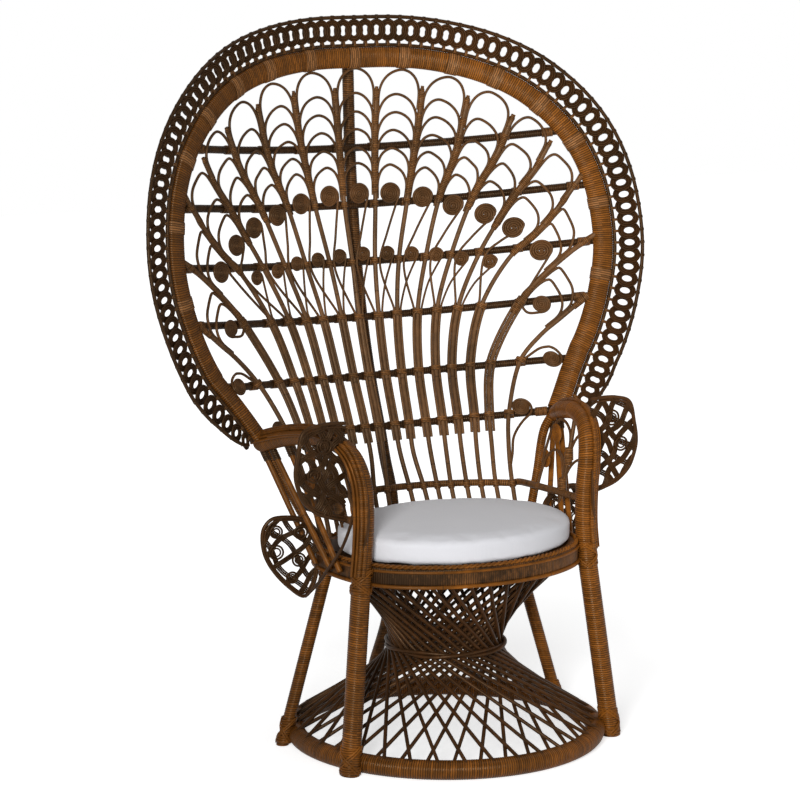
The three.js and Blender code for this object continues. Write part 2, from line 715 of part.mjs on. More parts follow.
// A reed is straight in plan and touches the waist; it rises from the hoop to the seat ring.
function reed(turn, layer) {
  const sense = layer ? -1 : 1;
  const waist = WAIST_RADIUS - layer * WAIST_STEP;
  const foot = REED_FOOT - layer * REED_FOOT_STEP;
  const top = REED_TOP - layer * REED_TOP_STEP;
  const out = new THREE.Vector3(Math.cos(turn), Math.sin(turn), 0);
  const tangent = new THREE.Vector3(-Math.sin(turn), Math.cos(turn), 0);
  const ahead = tangent.clone().multiplyScalar(sense);
  const runs = [-Math.sqrt(foot * foot - waist * waist), 0, Math.sqrt(top * top - waist * waist)];
  const heights = [HOOP_WIDTH + JOIN_GAP, WAIST_HEIGHT, RING_UNDERSIDE - JOIN_GAP];
  const [low, high] = [0, 1].map((i) => {
    const rise = heights[i + 1] - heights[i];
    return Math.hypot(runs[i + 1] - runs[i], rise) / rise;
  });
  const wide = [low, (low + high) / 2, high];
  const side = tangent.clone().multiplyScalar(-sense);
  const facing = out.clone().multiplyScalar(sense);
  const frames = heights.map((height, i) => {
    const at = out.clone().multiplyScalar(waist).addScaledVector(ahead, runs[i]).setZ(height);
    if (height > WAIST_HEIGHT) {
      at.x *= REED_TOP_STRETCH;
      at.y += RING_CENTRE;
    }
    return { at, side, out: facing, wide: wide[i] };
  });
  return sweep(frames, section(CANE_SIDES, REED_WIDTH));
}

// One layer of reeds with the waist band that binds them.
function reedLayer(layer) {
  const radius = WAIST_RADIUS - layer * WAIST_STEP;
  const x = WAIST_BAND_THICKNESS / 2;
  const y = WAIST_BAND_HEIGHT / 2;
  const profile = [[-x, -y], [x, -y], [x, y], [-x, y], [-x, -y]];
  const outline = profile.map(([a, b]) => new THREE.Vector2(radius + a, b));
  const band = new THREE.LatheGeometry(outline, REEDS_PER_LAYER);
  band.rotateX(Math.PI / 2);
  band.translate(0, 0, WAIST_HEIGHT);
  const reeds = [];
  for (let i = 0; i < REEDS_PER_LAYER; i += 1) {
    reeds.push(reed(((i + layer / 2) * 2 * Math.PI) / REEDS_PER_LAYER, layer));
  }
  return fuse([tidy(band), ...reeds]);
}

// The seat ring's outline in plan, moved in or out from its centre line.
function ringOutline(offset) {
  const right = RING_LINE.map(([x, y]) => new THREE.Vector2(x, y));
  const left = RING_LINE.slice(1, -1).reverse().map(([x, y]) => new THREE.Vector2(-x, y));
  const places = [...right, ...left].map(({ x, y }) => new THREE.Vector3(x, y, 0));
  const curve = new THREE.CatmullRomCurve3(places, true);
  const spots = [];
  for (let i = 0; i < RING_SEGMENTS; i += 1) {
    const spot = curve.getPointAt(i / RING_SEGMENTS);
    const ahead = curve.getTangentAt(i / RING_SEGMENTS);
    spots.push(new THREE.Vector2(spot.x + ahead.y * offset, spot.y - ahead.x * offset));
  }
  return spots;
}

function seatRing() {
  const outline = new THREE.Shape(ringOutline(RING_THICKNESS / 2));
  outline.holes.push(new THREE.Path(ringOutline(-RING_THICKNESS / 2).reverse()));
  const depth = RING_TOP - RING_UNDERSIDE;
  const ring = new THREE.ExtrudeGeometry(outline, { depth, steps: 1, bevelEnabled: false });
  ring.translate(0, 0, RING_UNDERSIDE);
  return cut(tidy(ring), [postCutter(1), postCutter(-1)]);
}

function seatPanel() {
  const outline = new THREE.Shape(ringOutline(-RING_THICKNESS / 2 - JOIN_GAP));
  const panel = new THREE.ExtrudeGeometry(outline, { depth: PANEL_THICKNESS, steps: 1, bevelEnabled: false });
  panel.translate(0, 0, RING_TOP - PANEL_THICKNESS);
  return tidy(panel);
}

// The loose cushion: a round pad with a crowned top and a band drawn in between two seams.
function cushion() {
  const radius = CUSHION_WIDTH / 2;
  const outline = CUSHION_SIDE_SHARES.map(([across, up]) => (
    new THREE.Vector2(across * radius, up * CUSHION_EDGE)
  ));
  CUSHION_CROWN_SHARES.forEach(([across, rise]) => {
    const height = THREE.MathUtils.lerp(CUSHION_EDGE, CUSHION_CROWN, rise);
    outline.push(new THREE.Vector2(across * radius, height));
  });
  const pad = new THREE.LatheGeometry(outline, CUSHION_SEGMENTS);
  pad.rotateX(Math.PI / 2);
  pad.scale(1, CUSHION_DEPTH / CUSHION_WIDTH, 1);
  pad.translate(0, CUSHION_CENTRE, RING_TOP + JOIN_GAP);
  return tidy(pad);
}

// A straight leg or post between two spots, its ends cut level.
function levelPost(foot, head, width, sides) {
  const ahead = head.clone().sub(foot).normalize();
  const side = new THREE.Vector3(1, 0, 0);
  const out = new THREE.Vector3(0, 1, 0);
  const frames = [foot, head].map((at) => ({ at, side, out }));
  return sweep(frames, section(sides, width / Math.sqrt(ahead.z)));
}

function postEnds(margin) {
  const foot = new THREE.Vector3(...FRONT_POST_FOOT, -margin);
  const head = new THREE.Vector3(...ARM_START);
  head.z -= JOIN_GAP / 2 - margin;
  return [foot, head];
}

// A front post, notched where it stands against the floor hoop.
function frontPost() {
  return cut(levelPost(...postEnds(0), FRONT_POST_WIDTH, POST_SIDES), [floorHoop(JOIN_GAP)]);
}

function postCutter(side) {
  const [foot, head] = postEnds(0);
  head.lerp(foot, -POST_CUTTER_SHARE);
  const thick = levelPost(foot, head, FRONT_POST_WIDTH + 2 * JOIN_GAP, POST_SIDES);
  return side > 0 ? thick : mirrored(thick);
}

function sideLeg() {
  const head = new THREE.Vector3(...SIDE_LEG_TOP, RING_UNDERSIDE - JOIN_GAP);
  const leg = levelPost(new THREE.Vector3(...SIDE_LEG_FOOT, 0), head, SIDE_LEG_WIDTH, POST_SIDES);
  return cut(leg, [floorHoop(JOIN_GAP)]);
}

// The pole behind the back: a rear leg that leans in to the seat and then follows the back up.
function backPole() {
  const lift = halfFlat(CANE_SIDES, RIB_WIDTH) + 2 * RAIL_GAP + 2 * halfFlat(CANE_SIDES, RAIL_WIDTH)
    + halfFlat(ROD_SIDES, POLE_WIDTH);
  const low = POLE_LINE.map((place) => new THREE.Vector3(0, ...place));
  const high = [RIB_LINES[1], RIB_LINES[2], ...RAIL_LINES, POLE_TOP].map((line) => (
    backSpot(0, line).addScaledVector(backFacing(0, line), -lift)
  ));
  const spots = [...low, ...high];
  const ahead = new THREE.Vector3(0, -1, 0);
  const frames = framesAlong(spots, spots.map(() => ahead));
  frames[0] = { at: spots[0], side: new THREE.Vector3(-1, 0, 0), out: ahead };
  return cut(sweep(frames, section(ROD_SIDES, POLE_WIDTH)), [rimCutter(), floorHoop(JOIN_GAP)]);
}

// The wrapped hoop of an arm, from the top of the front post over to the foot of the rim.
function armTube(width) {
  const frames = freeFrames([ARM_START, ...ARM_LINE], ARM_STEPS, new THREE.Vector3(1, 0, 0));
  const level = frames[0];
  level.at = level.at.clone().setZ(ARM_START[2] + JOIN_GAP / 2);
  level.side = new THREE.Vector3(0, -1, 0);
  level.out = new THREE.Vector3(1, 0, 0);
  return sweep(frames, section(POST_SIDES, width));
}

function armCutter(side) {
  const thick = armTube(ARM_WIDTH + 2 * JOIN_GAP);
  return side > 0 ? thick : mirrored(thick);
}

// Across position of the panel under the arm, leaning out from the waist rail to the arm.
function panelAcross(height) {
  const [low, , base] = WAIST_RAIL_FRONT[3];
  const [high, , crown] = ARM_LINE[5];
  return THREE.MathUtils.lerp(low, high, (height - base) / (crown - base));
}

function panelCane(points, steps, width, sides) {
  const spots = points.map(([depth, height]) => [panelAcross(height), depth, height]);
  return sweep(freeFrames(spots, steps, new THREE.Vector3(-1, 0, 0)), section(sides, width));
}

function strut([head, foot], margin = 0) {
  const frames = freeFrames([foot, head], 1, new THREE.Vector3(1, 0, 0));
  return sweep(frames, section(ROD_SIDES, STRUT_WIDTH + 2 * margin));
}

// The space of the seat ring with the joining gap round it.
function ringCutter() {
  const outline = new THREE.Shape(ringOutline(RING_THICKNESS / 2 + JOIN_GAP));
  const depth = RING_TOP - RING_UNDERSIDE + 2 * RING_THICKNESS;
  const block = new THREE.ExtrudeGeometry(outline, { depth, steps: 1, bevelEnabled: false });
  block.translate(0, 0, RING_UNDERSIDE - 2 * RING_THICKNESS);
  return tidy(block);
}

// An arm: hoop, outer struts, centre stake and the arches that spring from the stake.
function arm() {
  const low = WAIST_RAIL_FRONT[3][2] + WAIST_RAIL_WIDTH / 2 + 2 * JOIN_GAP;
  const stakeLine = [[STAKE_DEPTH, low], [STAKE_DEPTH + STAKE_WIDTH, ARM_LINE[4][2]]];
  const stake = panelCane(stakeLine, 2, STAKE_WIDTH, CANE_SIDES);
  const arches = ARM_ARCHES.map(([depth, crown]) => {
    const far = depth + (depth - STAKE_DEPTH) * ARM_ARCH_REACH_SHARE;
    const points = [
      [STAKE_DEPTH, crown - ARM_ARCH_DROP - STAKE_WIDTH],
      [THREE.MathUtils.lerp(STAKE_DEPTH, depth, ARM_ARCH_RISE_SHARE), crown - ARM_ARCH_DROP / 4],
      [depth, crown],
      [THREE.MathUtils.lerp(depth, far, ARM_ARCH_FALL_SHARE), crown - ARM_ARCH_DROP / 3],
      [far, crown - ARM_ARCH_DROP],
    ];
    return panelCane(points, ARCH_STEPS, ARCH_WIDTH, THIN_SIDES);
  });
  const struts = STRUTS.map((ends) => cut(strut(ends), [ringCutter()]));
  return cut(fuse([armTube(ARM_WIDTH), stake, ...arches, ...struts]), [rimCutter()]);
}

// The post inside each arm, from the seat ring up to the foot of the rim.
function armPost() {
  const head = new THREE.Vector3(...ARM_POST_HEAD);
  const foot = new THREE.Vector3(...ARM_POST_FOOT, RING_TOP);
  const post = levelPost(foot, head, ARM_POST_WIDTH, ROD_SIDES);
  return cut(post, [rimCutter(), armCutter(1), railSweep(0, JOIN_GAP), belowSeat()]);
}

// A woven panel with rows of openings, standing across the chair.
function wing(outline, openings, depth, yaw) {
  const places = [...outline, outline[0]].map(([x, y]) => new THREE.Vector2(x, y));
  const shape = new THREE.Shape(new THREE.SplineCurve(places).getSpacedPoints(WING_STEPS).slice(1));
  openings.forEach(([x, y]) => {
    const hole = new THREE.Path();
    for (let i = 0; i < OPENING_SIDES; i += 1) {
      const turn = (i * 2 * Math.PI) / OPENING_SIDES;
      const spot = [x + OPENING_SIZE * Math.cos(turn), y + OPENING_SIZE * Math.sin(turn)];
      hole[i ? 'lineTo' : 'moveTo'](...spot);
    }
    shape.holes.push(hole);
  });
  const panel = new THREE.ExtrudeGeometry(shape, { depth: WING_THICKNESS, steps: 1, bevelEnabled: false });
  const position = panel.getAttribute('position');
  for (let i = 0; i < position.count; i += 1) {
    const [x, y, z] = [position.getX(i), position.getY(i), position.getZ(i)];
    position.setXYZ(i, x, depth + WING_THICKNESS / 2 - z + (x - outline[0][0]) * yaw, y);
  }
  return tidy(panel);
}

function upperWing() {
  return cut(wing(UPPER_WING, UPPER_OPENINGS, UPPER_WING_DEPTH, 0), [armCutter(1)]);
}

// The lower wing hangs from the rearmost strut.
function lowerWing() {
  const panel = wing(LOWER_WING, LOWER_OPENINGS, LOWER_WING_DEPTH, LOWER_WING_YAW);
  const cutters = [rimCutter(), armCutter(1), ringCutter(), railSweep(0, JOIN_GAP)];
  return cut(fuse([panel, strut(WING_STRUT)]), cutters);
}

const finishes = {
  wrap: { color: 0x9a5a2c, roughness: 0.5, metalness: 0 },
  cane: { color: 0x6b4a32, roughness: 0.55, metalness: 0 },
  dark: { color: 0x3a2519, roughness: 0.6, metalness: 0 },
  reed: { color: 0x5a3a22, roughness: 0.6, metalness: 0 },
  cloth: { color: 0xe6e5e8, roughness: 0.9, metalness: 0 },
};

const chair = new THREE.Group();

function add(name, geometry, finish) {
  const mesh = new THREE.Mesh(geometry, new THREE.MeshStandardMaterial(finishes[finish]));
  mesh.name = name;
  chair.add(mesh);
}

function addPair(name, geometry, finish) {
  add(`${name}_right`, geometry, finish);
  add(`${name}_left`, mirrored(geometry), finish);
}

add('floor_hoop', floorHoop(), 'wrap');
add('outer_reeds', reedLayer(0), 'reed');
add('inner_reeds', reedLayer(1), 'reed');
add('seat_ring', seatRing(), 'wrap');
add('seat_panel', seatPanel(), 'reed');
add('cushion', cushion(), 'cloth');
addPair('front_post', frontPost(), 'wrap');
addPair('side_leg', sideLeg(), 'wrap');
add('back_pole', backPole(), 'dark');
add('back_rim', backRim(), 'wrap');
add('border_inner_rod', borderInnerRod(), 'dark');
add('border_strand_front', borderStrand(0), 'dark');
add('border_strand_back', borderStrand(1), 'dark');
add('border_outer_rod', borderOuterRod(), 'dark');
RAIL_LINES.forEach((line, i) => add(`rail_${i + 1}`, rail(i), 'dark'));
add('waist_rail', waistRail(), 'dark');
RIB_RUNS.forEach((run, i) => {
  add(`rib_right_${i + 1}`, rib(i, 1), 'cane');
  add(`rib_left_${i + 1}`, rib(i, -1), 'cane');
});
LARGE_COILS.forEach(([across, along], i) => {
  const rightOf = (number) => (line) => ribAcross(number, line);
  const leftOf = (number) => (line) => -ribAcross(number, line);
  const isLast = i === LARGE_COILS.length - 1;
  const over = i ? rightOf(i - 1) : leftOf(0);
  add(`scroll_right_${i}`, largeCoil([across, along], rightOf(i), isLast ? null : over), 'cane');
  if (i) {
    add(`scroll_left_${i}`, largeCoil([-across, along], leftOf(i - 1), isLast ? null : leftOf(i)), 'cane');
  }
});
addPair('arm', arm(), 'wrap');
addPair('arm_post', armPost(), 'wrap');
addPair('upper_wing', upperWing(), 'dark');
addPair('lower_wing', lowerWing(), 'dark');

// The origin is under the middle of the whole chair.
const bounds = new THREE.Box3().setFromObject(chair);
chair.position.y = -(bounds.min.y + bounds.max.y) / 2;

export default chair;
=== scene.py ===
import math

import bpy
import numpy as np
from mathutils import Matrix, Vector


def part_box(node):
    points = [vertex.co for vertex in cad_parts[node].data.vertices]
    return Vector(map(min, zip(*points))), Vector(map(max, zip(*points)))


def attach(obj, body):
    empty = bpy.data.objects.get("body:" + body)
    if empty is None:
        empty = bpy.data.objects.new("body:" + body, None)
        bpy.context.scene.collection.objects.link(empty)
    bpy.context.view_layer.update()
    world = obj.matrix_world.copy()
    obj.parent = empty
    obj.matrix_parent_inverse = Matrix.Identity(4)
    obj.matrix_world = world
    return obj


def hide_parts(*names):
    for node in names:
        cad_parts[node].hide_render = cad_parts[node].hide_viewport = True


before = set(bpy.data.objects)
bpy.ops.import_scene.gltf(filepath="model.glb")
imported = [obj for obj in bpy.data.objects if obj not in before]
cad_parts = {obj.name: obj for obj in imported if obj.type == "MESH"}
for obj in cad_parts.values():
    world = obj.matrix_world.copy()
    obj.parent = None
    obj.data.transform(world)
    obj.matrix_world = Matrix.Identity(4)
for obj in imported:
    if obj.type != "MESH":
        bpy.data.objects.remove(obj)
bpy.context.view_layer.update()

bl_info = {
    "name": "Peacock Chair",
    "version": (1, 0, 0),
    "blender": (4, 5, 0),
    "location": "View3D > Sidebar > Chair",
    "description": "Builds the canes, wrapping, woven border and cushion of a peacock chair",
    "category": "Object",
}

MM = 0.001
CHAIR, CUSHION = "chair", "cushion"

# The canes are laid out about the floor hoop, whose middle isn't the middle of the whole chair
HOOP_LOW, HOOP_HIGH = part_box("floor_hoop")
HOOP_MIDDLE = np.array([0.0, (HOOP_LOW.y + HOOP_HIGH.y) / 2, 0.0])

# Lengths from here on are in millimetres about the hoop's middle. Places on the back are given as how far across it
# they are, and how far up along it from the seat.
SEAT_LINE = 414.4
RECLINE = math.radians(12.5)
BACK_RADIUS, SEAT_BACK_RADIUS = 745, 430
RADIUS_FROM, RADIUS_TO = 45, 315
STRAIGHT_FROM = 340
BACK_DEPTHS = [
    (-60, 155), (0, 176), (61, 203), (140, 236), (200, 258), (305, 301), (427, 338),
    (545, 363), (665, 380), (785, 392), (915, 399), (1100, 400),
]

# How far across each rib is at each line up the back, and the places of its tip
RIB_LINES = [-25, 61, 140, 200, 303, 427, 542, 670]
RIB_RUNS = [
    [30, 27, 20, 19, 20, 23, 27, 37],
    [62, 59, 50, 52, 57, 66, 82, 110],
    [89, 88, 88, 90, 96, 112, 142, 181],
    [117, 117, 122, 126, 134, 155, 197, 254],
    [147, 149, 154, 159, 169, 200, 257],
    [175, 177, 185, 193, 208, 249],
    [203, 205, 215, 223, 250],
    [230, 235, 247, 261, 309],
]
RIB_TIPS = [
    [(43, 810), (49, 905)],
    [(140, 820), (151, 900)],
    [(219, 760), (246, 872)],
    [(300, 745), (333, 822)],
    [(301, 610), (338, 665), (376, 713), (402, 758)],
    [(322, 532), (370, 572), (413, 619), (462, 684)],
    [(325, 425), (366, 470), (432, 523), (482, 556)],
    [(359, 355), (400, 385), (452, 424)],
]
ARCH_CROWNS = [
    [(0, 958), (0, 905), (0, 865), (0, 827), (0, 787), (0, 754)],
    [(109, 950), (95, 898), (92, 859), (86, 821), (82, 782), (75, 747)],
    [(210, 927), (187, 880), (180, 842), (172, 804), (162, 768), (154, 735)],
    [(292, 887), (268, 831), (256, 785), (238, 750), (222, 713)],
    [(368, 823), (334, 769), (314, 729), (290, 692)],
    [(415, 737), (377, 683), (351, 651)],
    [(424, 618), (399, 589)],
    [(408, 492), (388, 468)],
]
ARCH_RISE, ARCH_LEAST_RISE = 0.55, 26
ARCH_CLEAR = 5.6
ARCH_TURNS = np.radians([0, 14, 30, 48, 68])
PAST_TIP = 110

# The scrolls, their canes and the bundles that carry them
LARGE_COILS = [(0, 690), (73, 687), (146, 673), (211, 650), (277, 625), (331, 589), (381, 534)]
LARGE_WIDTH, LARGE_LAYER = 50, 8.4
SMALL_COILS = [(0, 558), (57, 556), (112, 551), (166, 545), (219, 531), (277, 519)]
SMALL_WIDTH, SMALL_LAYER = 36, 3
SIDE_COILS = [(366, 418), (369, 301), (286, 208)]
SIDE_LAYER = 1.5
# For each side scroll: its rib, its cane's foot and way to the scroll, the winding's start and sense, and its looseness
SIDE_STEMS = [
    (6, 6, [(-28, -15)], -90, 1, 0), (7, -6, [(-38, 13), (-16, 25)], 90, -1, 9),
    (7, -125, [(-37, -92), (-27, -59), (-6, -31)], -50, 1, 3),
]
STEM_LAP = 60
BUNDLE_TOP, BUNDLE_FOOT = 436, 166
BUNDLE_REACH, STEM_REACH = 7.9, 7.4
# How close the turns of a wound cane lie, as a share of its thickness, and the steps in each turn
WINDING_PITCH, WINDING_STEPS = 0.86, 26
# A flat coil's outer radius, its pitch, and the number of pitches that it closes in by
SIDE_COIL, ARM_COIL = (17.2, 3.5, 4.75), (17.5, 3.4, 4.5)

# The wrapping of a rib's upper part: its thickness, how much it thins towards the tip, and how much and how far it
# swells where an arch joins
WRAP_THICK, WRAP_THINS, WRAP_SWELLS, WRAP_SWELL_REACH = 12.4, 3.2, 3.4, 9
# Bindings round a rib as their length and width: round its bundle, at a rail and at the waist rail
BUNDLE_TIE, RAIL_TIE, WAIST_TIE = (9, 22), (10, 13.5), (12, 13.5)
RIB_TIE_LAYER = -0.5

RAIL_LINES = [200, 305, 427, 543, 665, 787]
RAIL_REACH = [343, 404, 464, 482, 468, 425]
RAIL_LAYER = -14
WAIST_RAIL_HEIGHT = 482
WAIST_RAIL_THICK, WAIST_RAIL_BEHIND = 14, 12.4
WAIST_RAIL_FRONT = [(254, 146, 483), (258, 100, 486), (257, 40, 489), (256, -30, 492), (254, -108, 495)]

# The rim's line up the back, and the border outside it: how far out each rod and the rings are at the border's ends,
# and how much further along the rest of it
RIM_LINE = [
    (100, 977), (192, 961), (283, 928), (361, 876), (439, 784), (482, 680),
    (496, 543), (479, 443), (441, 345), (386, 261), (347, 199),
]
RIM_CROWN = 980
RIM_WIDTH, BAND_WIDTH = 42, 45
RIM_STEP = 6
BORDER_TRIM = 0.005
BORDER_TAPER = 120
BORDER_HELD = 40
BORDER_ROD = 8
INNER_ROD_OUT, OUTER_ROD_OUT, RINGS_OUT = 25.6, (27, 58), (26, 31.3)
RING_WIDTH, RING_LAP, LEAST_RING = 47.5, 13, 0.2
RING_STRAND, RING_TILT = 4.3, 0.24
BORDER_TIES = [("outer", 26.8, 11.5, "dark wrap"), ("inner", -28.4, 13.5, "tie")]
BORDER_TIE_LENGTH = 5.4

# The seat ring and the base
RING_LINE = [
    (0, -227), (112, -208), (178, -174), (214, -142), (236, -104), (250, -50), (254, 10),
    (250, 62), (236, 103), (203, 128), (160, 151), (90, 171), (0, 179),
]
RING_UNDERSIDE, RING_TOP, RING_THICK = 370, 412, 40
RING_RODS = [(13.5, RING_UNDERSIDE + 3, 8), (13.2, RING_TOP - 9, 6)]
RING_CENTRE = -24
# Two strands twisted together: how far each is from their middle, its thickness, and the length of a whole turn
WAIST_TWIST, BRAID_TWIST = (3.9, 7.8, 260), (2.4, 5.2, 24)
BRAID_OUT = 9
HOOP_RADIUS, HOOP_THICK = 310, 38
REED_COUNT = 36
WAIST_RADIUS, WAIST_STEP, WAIST_HEIGHT = 114, 12.5, 204
WAIST_BINDING_RADIUS = 121
REED_FOOT, REED_FOOT_STEP, REED_FOOT_HEIGHT = 317, 14.5, 34
REED_TOP, REED_TOP_STEP, REED_TOP_STRETCH = 205, 15, 1.18
FRONT_POST_FOOT, POST_THICK = (303, -161, 0), 38
SIDE_LEG_FOOT, SIDE_LEG_TOP, LEG_THICK = (328, 94, 0), (216, 101, 370), 25
POLE_LINE = [(0, 352, 0), (0, 318, 77), (0, 256, 196), (0, 225, 330)]
POLE_TOP, POLE_LAYER, POLE_THICK = 956, -34, 24

# The arms and their wings
ARM_START, ARM_THICK = (258, -127, 395), 36
ARM_LINE = [
    (253, -127, 450), (252, -130, 520), (257, -130, 580), (267, -112, 625), (281, -75, 650),
    (296, -20, 658), (312, 45, 650), (328, 98, 637), (347, 143, 622),
]
ARM_POST, ARM_POST_THICK = [(246, 84, 412), (286, 119, 505), (322, 151, 590), (339, 146, 622)], 18
# The rods and the canes along an arm: how far round it from its top, how far out, and the share of it that they follow
ARM_RODS = [(0.35, 21.5, 1.0), (0.75, 21.5, 1.0)]
ARM_SIDE_CANES = [(1.15, 21, 1.0), (1.5, 22, 1.0), (1.35, 27, 0.9)]
ARM_CANES = [
    [(291, 58, 315), (288, 10, 350), (286, -40, 395), (282, -85, 440), (276, -112, 490), (272, -127, 540)],
    [(258, -151, 560), (257, -153, 505), (263, -147, 455), (272, -128, 414)],
]
STRUTS = [
    [(336, 124, 622), (270, -15, 384)],
    [(320, 85, 636), (268, -53, 386)],
    [(345, 150, 617), (272, 49, 382)],
]
STRUT_THICK, STRUT_HEAD, STRUT_HEAD_THICK, ARM_CANE_THICK = 12, 24, 14.5, 6.5
STAKE_DEPTH, STAKE_THICK = -32, 9.5
STAKE_LINE = [(STAKE_DEPTH, 480), (-30, 560), (-22, 650)]
ARM_ARCHES = [(26, 634), (-74, 624), (26, 571), (-74, 566)]
ARM_ARCH_TIE = (26, 16)
ARM_COILS = [(286, 40, 602, 1), (275, 66, 545, 1), (268, -104, 596, -1), (262, -106, 524, -1)]
UPPER_WING = [
    (281, 697), (312, 699), (341, 697), (373, 686), (385, 645), (391, 602), (384, 571), (372, 547), (344, 523),
    (312, 511), (281, 503),
]
LOWER_WING = [
    (290, 474), (320, 480), (357, 478), (373, 461), (377, 441), (373, 409), (358, 377), (325, 338), (291, 315),
    (274, 336), (265, 370), (262, 410), (268, 450), (290, 474),
]
UPPER_RINGS = [(330, 656, 15), (352, 600, 14)]
LOWER_RINGS = [(300, 448, 13), (350, 452, 12), (350, 410, 14), (304, 392, 13), (318, 356, 11)]
# Each wing's name, outline, rings, place from front to back, turn towards the back, strip width and strip spacing
WINGS = [
    ("upper_wing", UPPER_WING, UPPER_RINGS, -104.5, 0.0, 13, 27),
    ("lower_wing", LOWER_WING, LOWER_RINGS, 61.5, 0.2, 11, 33),
]
WEAVE_SLOPES = (0.9, -0.75)
WEAVE_COUNT, WEAVE_REACH, WEAVE_WAVE, WEAVE_LIFT = 5, 130, 6.5, 2.6

# The cushion. Its profile runs from the underside's middle round the edge to the top, as shares of its size.
PAD_WIDTH, PAD_DEPTH, PAD_CENTRE, PAD_CROWN, PAD_SWELL = 503, 402, -37, 58, 5
PAD_PROFILE = [
    (0.35, 0), (0.7, 0), (0.93, 0.01), (0.98, 0.05), (1, 0.15), (0.997, 0.42), (1, 0.7), (0.988, 0.8), (0.95, 0.86),
    (0.8, 0.92), (0.6, 0.96), (0.3, 0.99),
]
PAD_SIDES = 96
PAD_GRAIN = 6
SWELL_PRESSURE, SWELL_STEPS = 4, 20

RIGHT = np.array([1.0, 0.0, 0.0])
FRONT = np.array([0.0, -1.0, 0.0])
UP = np.array([0.0, 0.0, 1.0])

# The camera, the lamps and the brightness of the surroundings
CAMERA_PLACE = (-2927.397, -5330.833, 1791.889)
CAMERA_RIGHT = (0.88224011, -0.47079973, 0)
CAMERA_UP = (0.08305745, 0.15564286, 0.98431538)
CAMERA_LENS = 137.06
CAMERA_SHIFT = (-0.01236, 0.00082)
LAMPS = [
    ("key lamp", (-3.3, -4.3, 2.2), 1.5, 240),
    ("fill lamp", (2.8, -3.8, 1.8), 3.0, 26),
    ("top lamp", (0.4, 0.2, 4.2), 3.0, 26),
]
LAMP_AIM = (0, 0, 0.75)
WORLD_LEVEL = 0.12
FLOOR_GLOW = 0.62
FLOOR_GLOW_FROM, FLOOR_GLOW_TO = 0.7, 2.2
FLOOR_HALF = 9
SHEEN_LEVEL = 0.4

# Colours that a user has no need to change
LACQUER_TINT = (1, 0.72, 0.45, 1)
# The groove colour is painted shade in the recesses between wound strips.
GROOVE_SHADE = (0.014, 0.006, 0.002, 1)
JOINT_DARK = (0.02, 0.01, 0.005, 1)
# The darker of these two colours serves both the stain's patches and the painted shade on the chair's left side.
STAIN_AND_SHADE_DARK, STAIN_WARM = (0.02, 0.009, 0.004, 1), (0.33, 0.105, 0.022, 1)
CLOTH_LIGHT, CLOTH_THREAD = (0.74, 0.74, 0.77, 1), (0.5, 0.5, 0.54, 1)


# What a user would change

def length(name, description, millimetres):
    return bpy.props.FloatProperty(
        name=name, description=description, default=millimetres * MM, subtype="DISTANCE")


def tint(name, description, default):
    return bpy.props.FloatVectorProperty(
        name=name, description=description, default=default, size=3, subtype="COLOR")


class CaneSizes(bpy.types.PropertyGroup):
    rib: length("Rib", "Thickness of the main canes of the back", 10)
    thin: length("Thin cane", "Thickness of the canes that end in scrolls", 5.4)
    arch: length("Arch", "Thickness of the arches", 6)
    rail: length("Rail", "Thickness of the rails behind the back", 15)
    reed: length("Reed", "Thickness of the crossing reeds", 7.8)
    ring: length("Ring spacing", "Distance between the middles of the border's rings", 26)


class WrapSizes(bpy.types.PropertyGroup):
    pitch: length("Strip", "Width of the wrapped strips", 4.6)
    lift: length("Crown", "How far each strip stands up between its edges", 0.8)
    tie: length("Tie strip", "Width of the strips that bind the joints", 3.6)


class Colours(bpy.types.PropertyGroup):
    wrap: tint("Wrapping", "Wrapped strips", (0.315, 0.105, 0.011))
    cane: tint("Bare cane", "Ribs and their side canes", (0.175, 0.092, 0.042))
    arch: tint("Arches", "Arches, scrolls and thin canes", (0.115, 0.056, 0.022))
    tie: tint("Bindings", "Fine strips round the joints", (0.24, 0.105, 0.032))
    band: tint("Bands", "Bands round the rim", (0.36, 0.155, 0.050))
    dark: tint("Dark cane", "Rails, border and wings", (0.038, 0.0175, 0.0060))
    # The reeds' colour is their own dark brown, lowered further as painted shade for the shadow under the seat.
    reed: tint("Reeds", "Crossing reeds of the base", (0.060, 0.026, 0.009))
    cloth: tint("Cushion", "Cushion cloth", (0.66, 0.66, 0.69))
    floor: tint("Floor", "Floor and backdrop", (0.9, 0.9, 0.9))


def size_of(name):
    """A cane's size in millimetres."""
    return getattr(bpy.context.scene.cane_sizes, name) / MM


def colour(name):
    return (*getattr(bpy.context.scene.chair_colours, name), 1)


# Node trees

class Value:
    """A node's output. Arithmetic on it adds maths nodes to its tree."""

    def __init__(self, nodes, socket):
        self.nodes, self.socket = nodes, socket

    def maths(self, operation, *others):
        return self.nodes.maths(operation, self, *others)

    def __add__(self, other):
        return self.maths("ADD", other)

    def __sub__(self, other):
        return self.maths("SUBTRACT", other)

    def __rsub__(self, other):
        return self.nodes.maths("SUBTRACT", other, self)

    def __mul__(self, other):
        return self.maths("MULTIPLY", other)

    def __truediv__(self, other):
        return self.maths("DIVIDE", other)

    def mapped(self, low, high, to_low=0.0, to_high=1.0):
        """The value moved from one span to another, and kept inside it."""
        ends = {"From Min": low, "From Max": high, "To Min": to_low, "To Max": to_high}
        return self.nodes("ShaderNodeMapRange", {"Value": self, **ends})

    def scaled(self, factor):
        """A colour or a vector times a number."""
        return self.nodes("ShaderNodeVectorMath", {0: self, "Scale": factor}, operation="SCALE")

    def parts(self):
        made = self.nodes.add("ShaderNodeSeparateXYZ", {0: self})
        return [Value(self.nodes, socket) for socket in made.outputs]


